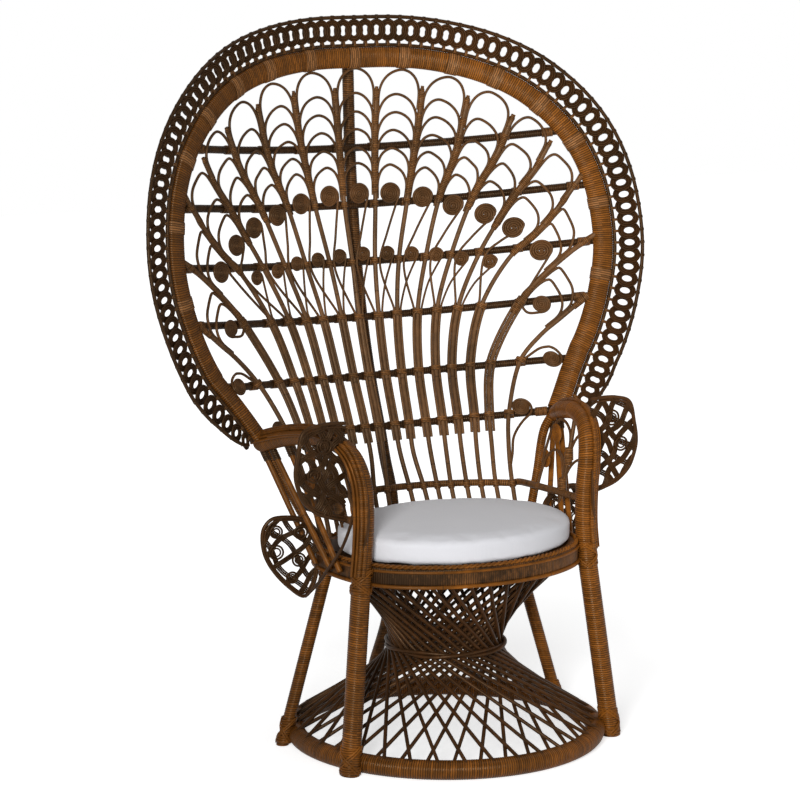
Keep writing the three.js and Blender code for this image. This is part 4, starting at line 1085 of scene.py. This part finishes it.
class CHAIR_OT_stage(bpy.types.Operator):
    """Sets the floor, the lamps, the surroundings and the camera"""
    bl_idname = "chair.stage"
    bl_label = "Stage"

    def execute(self, context):
        scene = context.scene
        scene.view_settings.view_transform = "Standard"
        mesh = bpy.data.meshes.new("floor")
        corners = [(-1, -1), (1, -1), (1, 1), (-1, 1)]
        mesh.from_pydata([(x * FLOOR_HALF, y * FLOOR_HALF, 0) for x, y in corners], [], [(0, 1, 2, 3)])
        mesh.materials.append(material("floor"))
        floor = self.placed(scene, "floor", mesh)
        self.light_world(scene)
        for lamp in LAMPS:
            self.add_lamp(scene, *lamp)
        self.add_camera(scene)
        return {"FINISHED"}

    def placed(self, scene, name, data):
        made = bpy.data.objects.new(name, data)
        scene.collection.objects.link(made)
        return made

    def light_world(self, scene):
        scene.world = scene.world or bpy.data.worlds.new("surroundings")
        scene.world.use_nodes = True
        scene.world.node_tree.nodes.clear()
        nodes = Nodes(scene.world.node_tree)
        camera, through, glossy = (
            nodes("ShaderNodeLightPath", out=f"Is {kind} Ray") for kind in ("Camera", "Transmission", "Glossy"))
        seen = camera.maths("MAXIMUM", through).maths("MAXIMUM", glossy * SHEEN_LEVEL)
        level = seen.mapped(0.0, 1.0, WORLD_LEVEL, 1.0)
        shine = nodes("ShaderNodeBackground", {"Color": (1, 1, 1, 1), "Strength": level})
        nodes.add("ShaderNodeOutputWorld", {"Surface": shine})

    def add_lamp(self, scene, name, place, size, power):
        lamp = bpy.data.lights.new(name, "AREA")
        lamp.shape = "DISK"
        lamp.size = size
        lamp.energy = power
        made = self.placed(scene, name, lamp)
        made.location = place
        made.visible_camera = False
        made.rotation_euler = (Vector(LAMP_AIM) - made.location).to_track_quat("-Z", "Y").to_euler()

    def add_camera(self, scene):
        lens = bpy.data.cameras.new("camera")
        lens.sensor_width = 36
        lens.lens = CAMERA_LENS
        lens.shift_x, lens.shift_y = CAMERA_SHIFT
        lens.clip_end = 60
        right, up = Vector(CAMERA_RIGHT), Vector(CAMERA_UP)
        turn = Matrix((right, up, right.cross(up))).transposed()
        scene.camera = self.placed(scene, "camera", lens)
        scene.camera.matrix_world = Matrix.Translation(Vector(CAMERA_PLACE) * MM + Vector(HOOP_MIDDLE)) @ turn.to_4x4()


class CHAIR_OT_base(bpy.types.Operator):
    """Makes the floor hoop, the crossing reeds, their waist ring, the legs and the pole"""
    bl_idname = "chair.base"
    bl_label = "Base"

    def execute(self, context):
        hoop, _ = circle(HOOP_RADIUS, HOOP_THICK / 2)
        canes("floor_hoop_wrapping", [free(hoop, HOOP_THICK)], "wrap", ["floor_hoop"], closed=True,
              sides=18, wrap=1)
        for layer, name in enumerate(("outer_reeds", "inner_reeds")):
            turns = (np.arange(REED_COUNT) + layer / 2) * 2 * math.pi / REED_COUNT
            runs = [reed_run(turn, layer, size_of("reed")) for turn in turns]
            canes(name + "_dressed", runs, "reed", [name], spacing=9)
        strands = twisted(*circle(WAIST_BINDING_RADIUS, WAIST_HEIGHT - 4), *WAIST_TWIST)
        canes("waist_ring", strands, "reed", spacing=5)
        self.legs()
        self.pole()
        return {"FINISHED"}

    def legs(self):
        side_leg, post = (SIDE_LEG_FOOT, SIDE_LEG_TOP), (FRONT_POST_FOOT, ARM_START)
        canes("side_leg_wrapping", both([free(evenly(side_leg, 8), LEG_THICK, RIGHT)]), "wrap",
              ["side_leg_right", "side_leg_left"], sides=14, wrap=1)
        canes("front_post_wrapping", both([free(evenly(post, 8), POST_THICK, FRONT)]), "wrap",
              ["front_post_right", "front_post_left"], sides=18, wrap=1)
        bound = crossed_binding(*post, 20.5, 0.012, 0.15)
        bound += crossed_binding(*post, 21, 0.91, 1.03, ends=2)
        bound += crossed_binding(*side_leg, 15, 0.015, 0.15)
        bound += crossed_binding(*side_leg, 14, 0.93, 0.99, ends=2, crossings=1)
        canes("leg_bindings", both(bound), "stake", sides=6, spacing=3.5, depth=0.45)

    def pole(self):
        behind = [(0, line, POLE_LAYER) for line in (*RIB_LINES[1:3], *RAIL_LINES, POLE_TOP)]
        path = curve([*POLE_LINE, *on_back(behind, POLE_THICK)[0]], 8)
        canes("back_pole_wrapping", [free(path, POLE_THICK, FRONT)], "apron", ["back_pole"], sides=14,
              wrap=1)
        bound = crossed_binding(*POLE_LINE[:2], 14.5, 0.06, 0.62)
        canes("pole_bindings", bound, "stake", sides=6, spacing=3.5, depth=0.45)


class CHAIR_OT_seat(bpy.types.Operator):
    """Makes the bound seat ring with its rods and its braid, and finishes the woven seat panel"""
    bl_idname = "chair.seat"
    bl_label = "Seat"

    def execute(self, context):
        middle, out = ring_line(0, (RING_UNDERSIDE + RING_TOP) / 2)
        canes("seat_ring_wrapping", [(middle, RING_THICK, out)], "apron", ["seat_ring"], closed=True,
              sides=20, wrap=1, depth=0.6, corner=0.45)
        rods = []
        for offset, height, thick in RING_RODS:
            path, out = ring_line(offset, height)
            rods.append((path, thick, out))
        canes("seat_ring_rods", rods, "stake", closed=True)
        braid = twisted(*ring_line(BRAID_OUT, RING_TOP + 1), *BRAID_TWIST)
        canes("seat_ring_braid", braid, "stake", sides=6, spacing=2.6)
        for slot in bpy.data.objects["seat_panel"].material_slots:
            slot.material = material("woven")
        return {"FINISHED"}


class CHAIR_OT_back(bpy.types.Operator):
    """Makes the ribs, their bound canes, the arches, the rails and all the joints of the back"""
    bl_idname = "chair.back"
    bl_label = "Back"

    def execute(self, context):
        arches = all_arches()
        self.ribs(arches)
        runs = [on_back(curve(points, 4), size_of("arch"), -0.4) for points, *_ in arches]
        canes("arches", runs, "arch", spacing=4)
        self.rails()
        self.waist_rail()
        return {"FINISHED"}

    def ribs(self, arches):
        runs, bound, wound, ties, names = [], [], [], [], []
        for number, side in signed_ribs():
            path = rib_path(number, side)
            foot = line_at(number, RING_TOP + 1)
            runs.append(on_back(evenly(part_of(path, foot), 6), size_of("rib")))
            names.append(sided("rib", side, number + 1))
            stretch = part_of(path, BUNDLE_FOOT, BUNDLE_TOP)
            for hand in (-1, 1) if number < len(RIB_RUNS) - 1 else ():
                bound.append(on_back(evenly(beside(stretch, hand * BUNDLE_REACH), 6), size_of("thin") + 0.4))
            ties += [tie_on_back(path, line, *BUNDLE_TIE) for line in RAIL_LINES[:3]]
            feet = np.array([foot for _, held, foot in arches if (number, side) in held])
            places = evenly(part_of(rib_path(number, side, 14), feet.min() - 14), 4)
            wound.append(on_back(places, self.girth(places, feet)))
        canes("ribs_dressed", runs, "cane", names, sides=10)
        canes("rib_side_canes", bound, "cane")
        canes("rib_bindings", ties, "tie", sides=12, tie=0.8, depth=0.56)
        canes("rib_wrapping", wound, "tie", sides=12, tie=0.8, depth=0.74)

    def girth(self, places, feet):
        """The wrapping's thickness: less towards the tip, and more where the foot of an arch joins the rib."""
        near = np.min(np.abs(places[:, 1:2] - feet), axis=1)
        left = len(places) - np.arange(len(places))
        body = WRAP_THICK - WRAP_THINS * np.linspace(0, 1, len(places))
        body += WRAP_SWELLS * np.exp(-((near / WRAP_SWELL_REACH) ** 2))
        return body * np.clip(left / 3, 0.7, 1)

    def rails(self):
        rail = size_of("rail")
        runs, ties = [], []
        for line, reach in zip(RAIL_LINES, RAIL_REACH):
            across = np.arange(-reach, reach + 1, 8.0)
            runs.append(on_back(np.column_stack([across, np.full(len(across), line)]), rail, RAIL_LAYER))
            for number, side in signed_ribs():
                if rib_points(number)[-1][1] > line:
                    place = side * float(rib_across(number, line))
                    ties.append(on_back([(place + step, line) for step in (-9, 0, 9)], rail + 3, RAIL_LAYER))
                    ties.append(tie_on_back(rib_path(number, side), line, *RAIL_TIE, RIB_TIE_LAYER))
            for side in (-1, 1):
                ties.append(on_back([(side * (reach - step), line) for step in (34, 24, 14)], rail + 4, RAIL_LAYER))
        names = [f"rail_{i + 1}" for i in range(len(RAIL_LINES))]
        canes("rails_dressed", runs, "dark wrap", names, sides=12, wrap=0.7)
        canes("rail_bindings", ties, "tie", sides=12, tie=0.8)

    def waist_rail(self):
        """The rail behind the ribs above the seat, which runs on along both arms."""
        behind, ties = [], []
        for number, side in signed_ribs():
            line = line_at(number, WAIST_RAIL_HEIGHT)
            place = side * float(rib_across(number, line))
            facing = back_facing(place, line) * (1, 1, 0)
            behind.append(back_spot(place, line) - facing * WAIST_RAIL_BEHIND / np.dot(facing, facing))
            ties.append(tie_on_back(rib_path(number, side), line, *WAIST_TIE, RIB_TIE_LAYER))
        front = np.array(WAIST_RAIL_FRONT, float)
        path = curve(np.vstack([front[::-1] * (-1, 1, 1), behind, front]), 6)
        canes("waist_rail_dressed", [free(path, WAIST_RAIL_THICK)], "tie", ["waist_rail"], sides=12,
              wrap=0.7)
        canes("waist_rail_bindings", ties, "tie", sides=12, tie=0.8)


class CHAIR_OT_scrolls(bpy.types.Operator):
    """Winds the large, small and side scrolls on the canes that carry them"""
    bl_idname = "chair.scrolls"
    bl_label = "Scrolls"

    def execute(self, context):
        large, small, names = [], [], []
        for i, (across, along) in enumerate(LARGE_COILS):
            for side in (1, -1) if i else (1,):
                large += self.large(i, side, (side * across - 5, along - 2))
                names.append(sided("scroll", side, i))
        for number, side in signed_ribs():
            place = number + 1 if side > 0 else number
            if place < len(SMALL_COILS):
                across, along = SMALL_COILS[place]
                small += self.small(number, side, side * across, along)
        canes("large_scrolls", large, "arch", names, spacing=2.4)
        canes("small_scrolls", small, "arch", sides=7, spacing=2.2)
        canes("side_scrolls", self.side_scrolls(), "arch", spacing=2.4)
        return {"FINISHED"}

    def large(self, i, side, centre):
        """Up the left side of one bundle, over to the next rib on the left and up to the scroll."""
        last = i == len(LARGE_COILS) - 1
        path = rib_path(*((i, 1) if side > 0 else (i - 1, -1)))
        stem = beside(part_of(path, BUNDLE_TOP - STEM_LAP, BUNDLE_TOP), 0 if last else -STEM_REACH)
        through = []
        if not last:
            over = (i - 1, 1) if side > 0 and i else (i if side < 0 else 0, -1)
            line = RAIL_LINES[3]
            right = np.array([centre[0] + 22.3, centre[1]])
            crossing = np.array([over[1] * float(rib_across(over[0], line)) + 9.5, line - 8])
            through = [crossing, crossing * 0.6 + right * 0.4 + (0, 6)]
        return [scroll(stem, through, centre, LARGE_WIDTH, size_of("thin"), LARGE_LAYER), plug(centre, LARGE_LAYER)]

    def small(self, number, side, across, along):
        """Up the right side of a bundle and over to the scroll."""
        stem = beside(part_of(rib_path(number, side), BUNDLE_TOP - STEM_LAP, BUNDLE_TOP), STEM_REACH)
        through = [stem[-1] * 0.6 + np.array([across + 15, along]) * 0.4 + (-2, 10)]
        centre = (across - 2, along)
        wound = scroll(stem, through, centre, SMALL_WIDTH, size_of("thin") - 0.6, SMALL_LAYER)
        return [wound, plug(centre, SMALL_LAYER)]

    def side_scrolls(self):
        runs = []
        for (across, along), (number, foot, through, start, way, loose) in zip(SIDE_COILS, SIDE_STEMS):
            angle, reach = coil(*SIDE_COIL)
            reach = reach + loose * np.exp(-angle)
            angle = math.radians(start) + way * angle
            wound = np.column_stack([across + reach * np.cos(angle), along + reach * np.sin(angle)])
            stem = part_of(rib_path(number, 1), along + foot - 30, along + foot)
            guides = [(across + x, along + y) for x, y in through]
            run = np.vstack([curve([stem[0], stem[-1], *guides, wound[0]], 5)[:-1], wound])
            for side in (1, -1):
                runs.append(on_back(run * (side, 1), size_of("thin") + 0.4, SIDE_LAYER))
                runs.append(plug((side * across, along), SIDE_LAYER))
        return runs


class CHAIR_OT_rim(bpy.types.Operator):
    """Makes the wrapped rim, its bands and the border of rings round it"""
    bl_idname = "chair.rim"
    bl_label = "Rim and border"

    def execute(self, context):
        spots, out, ahead = rim_frames()
        canes("rim_wrapping", [(spots, RIM_WIDTH, out)], "wrap", ["back_rim"], sides=22, wrap=1,
              depth=0.53, corner=0.85)
        bands = []
        for crowns in ARCH_CROWNS:
            across, along = crowns[0]
            for hand in (1, -1) if across else (1,):
                near = int(np.argmin(np.linalg.norm(spots - back_spot(hand * across, along), axis=1)))
                held = slice(near - 2, near + 3)
                bands.append((spots[held], BAND_WIDTH, out[held]))
        canes("rim_bands", bands, "band", sides=22, wrap=1, depth=0.57, corner=0.85)
        first = int(len(spots) * BORDER_TRIM)
        self.border(spots[first:-first], out[first:-first], ahead[first:-first])
        return {"FINISHED"}

    def border(self, spots, out, ahead):
        """Two rods and the rings between them. The border keeps its plane and draws in to the rim at both ends."""
        out = out[np.clip(np.arange(len(out)), BORDER_HELD, len(out) - 1 - BORDER_HELD)]
        side = unit(np.cross(out, ahead))
        run = np.arange(len(spots)) * float(RIM_STEP)
        share = np.clip((np.minimum(run, run[::-1]) + RIM_STEP / 2) / BORDER_TAPER, 0, 1)[:, None]
        share = np.sqrt(share * (2 - share))
        inner = spots + side * INNER_ROD_OUT
        outer = spots + side * (OUTER_ROD_OUT[0] + OUTER_ROD_OUT[1] * share)
        canes("border_rods", [(inner, BORDER_ROD, out), (outer, BORDER_ROD, out)], "dark",
              ["border_inner_rod", "border_outer_rod"])
        middle = spots + side * (RINGS_OUT[0] + RINGS_OUT[1] * share)
        self.rings(middle, side, out, ahead, share)

    def rings(self, *rows):
        run = distances(rows[0])
        count = int(round(run[-1] / size_of("ring")))
        at = (np.arange(count) + 0.5) / count * run[-1]
        places, sides, outs, aheads, share = (read_at(at, run, row) for row in rows)
        width = RING_WIDTH * np.maximum(share[:, 0], LEAST_RING)
        made = wire("border_rings", [(places, width * 2, unit(outs))], ahead=unit(aheads))
        made = grown(made, ring_tree(), Length=(run[-1] / count + RING_LAP) * MM, Width=RING_WIDTH * MM,
                     Strand=RING_STRAND * MM, Tilt=RING_TILT, Material=material("strands"))
        finish_piece(made, replaces=["border_strand_front", "border_strand_back"])
        for title, offset, width, finish in BORDER_TIES:
            shifted = places + sides * offset * share
            ties = [tie_run(*row, BORDER_TIE_LENGTH, width) for row in zip(shifted, aheads, outs)]
            canes(f"{title}_border_bindings", ties, finish, sides=10, tie=0.5, depth=0.7)


class CHAIR_OT_arms(bpy.types.Operator):
    """Makes the rolled arms with their struts, bowed canes, arches, coils and back posts"""
    bl_idname = "chair.arms"
    bl_label = "Arms"

    def execute(self, context):
        line = curve([ARM_START, *ARM_LINE], 6)
        over = unit(np.cross(RIGHT, unit(np.gradient(line, axis=0))))

        def along_arm(places, thick):
            runs = []
            for turn, distance, share in places:
                path = line + (over * math.cos(turn) + RIGHT * math.sin(turn)) * distance
                runs.append(free(path[:int(len(line) * share)], thick, RIGHT))
            return both(runs)

        canes("arm_wrapping", both([free(line, ARM_THICK, RIGHT)]), "wrap", ["arm_right", "arm_left"],
              sides=18, wrap=1)
        canes("arm_edging", along_arm(ARM_RODS, 8.6), "wrap", sides=10, tie=0.7)
        canes("arm_side_canes", along_arm(ARM_SIDE_CANES, 6), "stake", spacing=5)
        self.struts()
        self.panel()
        canes("arm_post_wrapping", both([free(curve(ARM_POST, 8), ARM_POST_THICK, FRONT)]), "wrap",
              ["arm_post_right", "arm_post_left"], sides=14, wrap=1)
        return {"FINISHED"}

    def struts(self):
        runs, heads = [], []
        for high, low in STRUTS:
            runs.append(free(evenly([low, high], 8), STRUT_THICK, RIGHT))
            way = np.subtract(high, low).astype(float)
            heads.append(tie_run(np.array(high) - unit(way) * STRUT_HEAD, way, RIGHT, STRUT_HEAD, STRUT_HEAD_THICK))
        bowed = [free(curve(points, 6), ARM_CANE_THICK, RIGHT) for points in ARM_CANES]
        canes("strut_canes", both(runs), "stake", sides=10, spacing=8)
        canes("bowed_arm_canes", both(bowed), "reed")
        canes("strut_heads", both(heads), "dark wrap", sides=12, wrap=1)

    def across(self, height):
        """Where the panel under the arm lies at a height: it leans out from the waist rail to the arm."""
        low, _, base = WAIST_RAIL_FRONT[3]
        high, _, crown = ARM_LINE[5]
        return low + (high - low) * (height - base) / (crown - base)

    def on_panel(self, points, thick):
        return free(curve([(self.across(height), depth, height) for depth, height in points]), thick, -RIGHT)

    def panel(self):
        """The stake under the arm, with an arch sprung from it to each side on two levels, and the coils."""
        runs, ties, coils = [self.on_panel(STAKE_LINE, STAKE_THICK)], [], []
        for depth, crown in ARM_ARCHES:
            far = depth + (depth - STAKE_DEPTH) * 0.62
            runs.append(self.on_panel([
                (STAKE_DEPTH + 2, crown - 95), (STAKE_DEPTH + 3, crown - 62),
                (STAKE_DEPTH * 0.68 + depth * 0.32, crown - 17), (depth, crown),
                (depth * 0.25 + far * 0.75, crown - 20), (far, crown - 60), (far + (far - depth) * 0.04, crown - 96),
            ], 6))
            foot = np.array([self.across(crown - 62), STAKE_DEPTH + 2, crown - 62])
            ties.append(tie_run(foot, (0, 0.05, 1), -RIGHT, *ARM_ARCH_TIE))
        for x, depth, height, hand in ARM_COILS:
            angle, reach = coil(*ARM_COIL)
            path = [np.full(len(angle), x), depth + hand * reach * np.cos(angle), height + 1.1 * reach * np.sin(angle)]
            coils.append(free(np.column_stack(path), 5.4, -RIGHT))
        canes("arm_arches", both(runs), "arch", spacing=4)
        canes("arm_arch_bindings", both(ties), "tie", sides=12, tie=0.8)
        canes("arm_coils", both(coils), "stake", spacing=2.4)


class CHAIR_OT_wings(bpy.types.Operator):
    """Weaves the openwork wings beside the arms"""
    bl_idname = "chair.wings"
    bl_label = "Wings"

    def execute(self, context):
        for wing in WINGS:
            self.weave(*wing)
        return {"FINISHED"}

    def weave(self, name, points, rings, depth, yaw, width, spacing):
        outline = curve(points, 4)
        middle = outline.mean(axis=0)

        def placed(path, thick, lift=0.0):
            back = depth - lift + (path[:, 0] - outline[0][0]) * yaw
            return free(np.column_stack([path[:, 0], back, path[:, 1]]), thick, FRONT)

        strips, loops = [], []
        for way in WEAVE_SLOPES:
            ahead = np.array([math.cos(way), math.sin(way)])
            side = np.array([-ahead[1], ahead[0]])
            run = np.linspace(-WEAVE_REACH, WEAVE_REACH, 90)
            for i in range(-WEAVE_COUNT, WEAVE_COUNT + 1):
                wave = WEAVE_WAVE * np.sin(run / spacing * math.pi * 0.5 + i * 1.9 + way)
                for strand in (-1, 0, 1):
                    shift = i * spacing + wave + strand * width / 3
                    path = middle + ahead * run[:, None] + side * shift[:, None]
                    for part in stretches(outline, path):
                        lift = np.sign(way) * WEAVE_LIFT * np.sin(part @ ahead / spacing * math.pi)
                        strips.append(placed(part, width / 2.9, lift))
        for x, z, radius in rings:
            angle = np.linspace(0, 2 * math.pi, 22)
            for reach, thick in ((radius, 4.4), (radius * 0.6, 3.6)):
                loops.append(placed(np.column_stack([x + reach * np.cos(angle), z + reach * np.sin(angle)]), thick, 4))
        rods = [placed(outline, 8), placed(outline + (middle - outline) * 0.075, 4.6, 1.5)]
        canes(name + "_strips", both(strips), "dark", sides=6, spacing=5)
        canes(name + "_rings", both(loops), "dark", sides=7, spacing=3)
        canes(name + "_rod", both(rods), "reed", [name + "_right", name + "_left"], spacing=4)


class CHAIR_OT_cushion(bpy.types.Operator):
    """Sews the loose cushion and swells it with a cloth simulation"""
    bl_idname = "chair.cushion"
    bl_label = "Cushion"

    def execute(self, context):
        shape = self.shape(context.scene)
        self.swell(shape, context.scene)
        shape.data.polygons.foreach_set("use_smooth", np.ones(len(shape.data.polygons), bool))
        finer = shape.modifiers.new("finer", "SUBSURF")
        finer.levels = finer.render_levels = 1
        shape.data.materials.clear()
        shape.data.materials.append(material("cloth"))
        finish_piece(shape, CUSHION, ["cushion"])
        return {"FINISHED"}

    def shape(self, scene):
        """A round pad: a drawn-in band between two crowned faces."""
        turn = np.linspace(0, 2 * math.pi, PAD_SIDES, endpoint=False)
        foot = RING_TOP + 1
        rows = [
            np.column_stack([
                across * PAD_WIDTH / 2 * np.cos(turn), across * PAD_DEPTH / 2 * np.sin(turn) + PAD_CENTRE,
                np.full(PAD_SIDES, foot + up * PAD_CROWN)])
            for across, up in PAD_PROFILE
        ]
        points = np.vstack(rows + [[(0, PAD_CENTRE, foot)], [(0, PAD_CENTRE, foot + PAD_CROWN)]]) * MM + HOOP_MIDDLE
        low, high, top = len(points) - 2, len(points) - 1, len(points) - 2 - PAD_SIDES
        faces = []
        for i in range(PAD_SIDES):
            j = (i + 1) % PAD_SIDES
            faces += [(row + i, row + j, row + PAD_SIDES + j, row + PAD_SIDES + i) for row in range(0, top, PAD_SIDES)]
            faces += [(low, j, i), (high, top + i, top + j)]
        mesh = bpy.data.meshes.new("cushion_pad")
        mesh.from_pydata(points.tolist(), [], faces)
        made = bpy.data.objects.new("cushion_pad", mesh)
        scene.collection.objects.link(made)
        return made

    def swell(self, shape, scene):
        """Blows the pad up as cloth and keeps its wrinkles and a small swell, with nothing below its seat."""
        remesh = shape.modifiers.new("even", "REMESH")
        remesh.mode = "VOXEL"
        remesh.voxel_size = PAD_GRAIN * MM
        shape.data = evaluated_mesh(shape)
        shape.modifiers.clear()
        start = self.places(shape.data)
        cloth_sim = shape.modifiers.new("swell", "CLOTH")
        cloth_sim.settings.use_pressure = True
        cloth_sim.settings.uniform_pressure_force = SWELL_PRESSURE
        cloth_sim.settings.effector_weights.gravity = 0
        cloth_sim.settings.quality = 5
        for step in range(1, SWELL_STEPS + 1):
            scene.frame_set(step)
        result = evaluated_mesh(shape)
        shape.modifiers.clear()
        scene.frame_set(1)
        move = self.places(result) - start
        size = np.linalg.norm(move, axis=1, keepdims=True)
        placed = start + move * np.minimum(1, PAD_SWELL * MM / np.maximum(size, 1e-9))
        placed[:, 2] = np.maximum(placed[:, 2], (RING_TOP + 0.6) * MM)
        result.vertices.foreach_set("co", placed.astype(np.float32).ravel())
        result.name = "cushion_pad"
        shape.data = result

    def places(self, mesh):
        found = np.empty(len(mesh.vertices) * 3, np.float32)
        mesh.vertices.foreach_get("co", found)
        return found.reshape(-1, 3)


class CHAIR_PT_panel(bpy.types.Panel):
    bl_idname = "CHAIR_PT_panel"
    bl_label = "Peacock chair"
    bl_space_type = "VIEW_3D"
    bl_region_type = "UI"
    bl_category = "Chair"

    def draw(self, context):
        for operator in OPERATORS:
            self.layout.operator(operator.bl_idname)
        for group in (context.scene.cane_sizes, context.scene.wrap_sizes, context.scene.chair_colours):
            for name in group.bl_rna.properties.keys():
                if name not in ("rna_type", "name"):
                    self.layout.prop(group, name)


OPERATORS = (
    CHAIR_OT_stage, CHAIR_OT_base, CHAIR_OT_seat, CHAIR_OT_back, CHAIR_OT_scrolls, CHAIR_OT_rim, CHAIR_OT_arms,
    CHAIR_OT_wings, CHAIR_OT_cushion,
)
CLASSES = (CaneSizes, WrapSizes, Colours, *OPERATORS, CHAIR_PT_panel)


def register():
    for one in CLASSES:
        bpy.utils.register_class(one)
    bpy.types.Scene.cane_sizes = bpy.props.PointerProperty(type=CaneSizes)
    bpy.types.Scene.wrap_sizes = bpy.props.PointerProperty(type=WrapSizes)
    bpy.types.Scene.chair_colours = bpy.props.PointerProperty(type=Colours)


def unregister():
    for name in ("cane_sizes", "wrap_sizes", "chair_colours"):
        delattr(bpy.types.Scene, name)
    for one in reversed(CLASSES):
        bpy.utils.unregister_class(one)


def main():
    register()
    for operator in OPERATORS:
        group, name = operator.bl_idname.split(".")
        getattr(getattr(bpy.ops, group), name)()


if __name__ == "__main__":
    main()
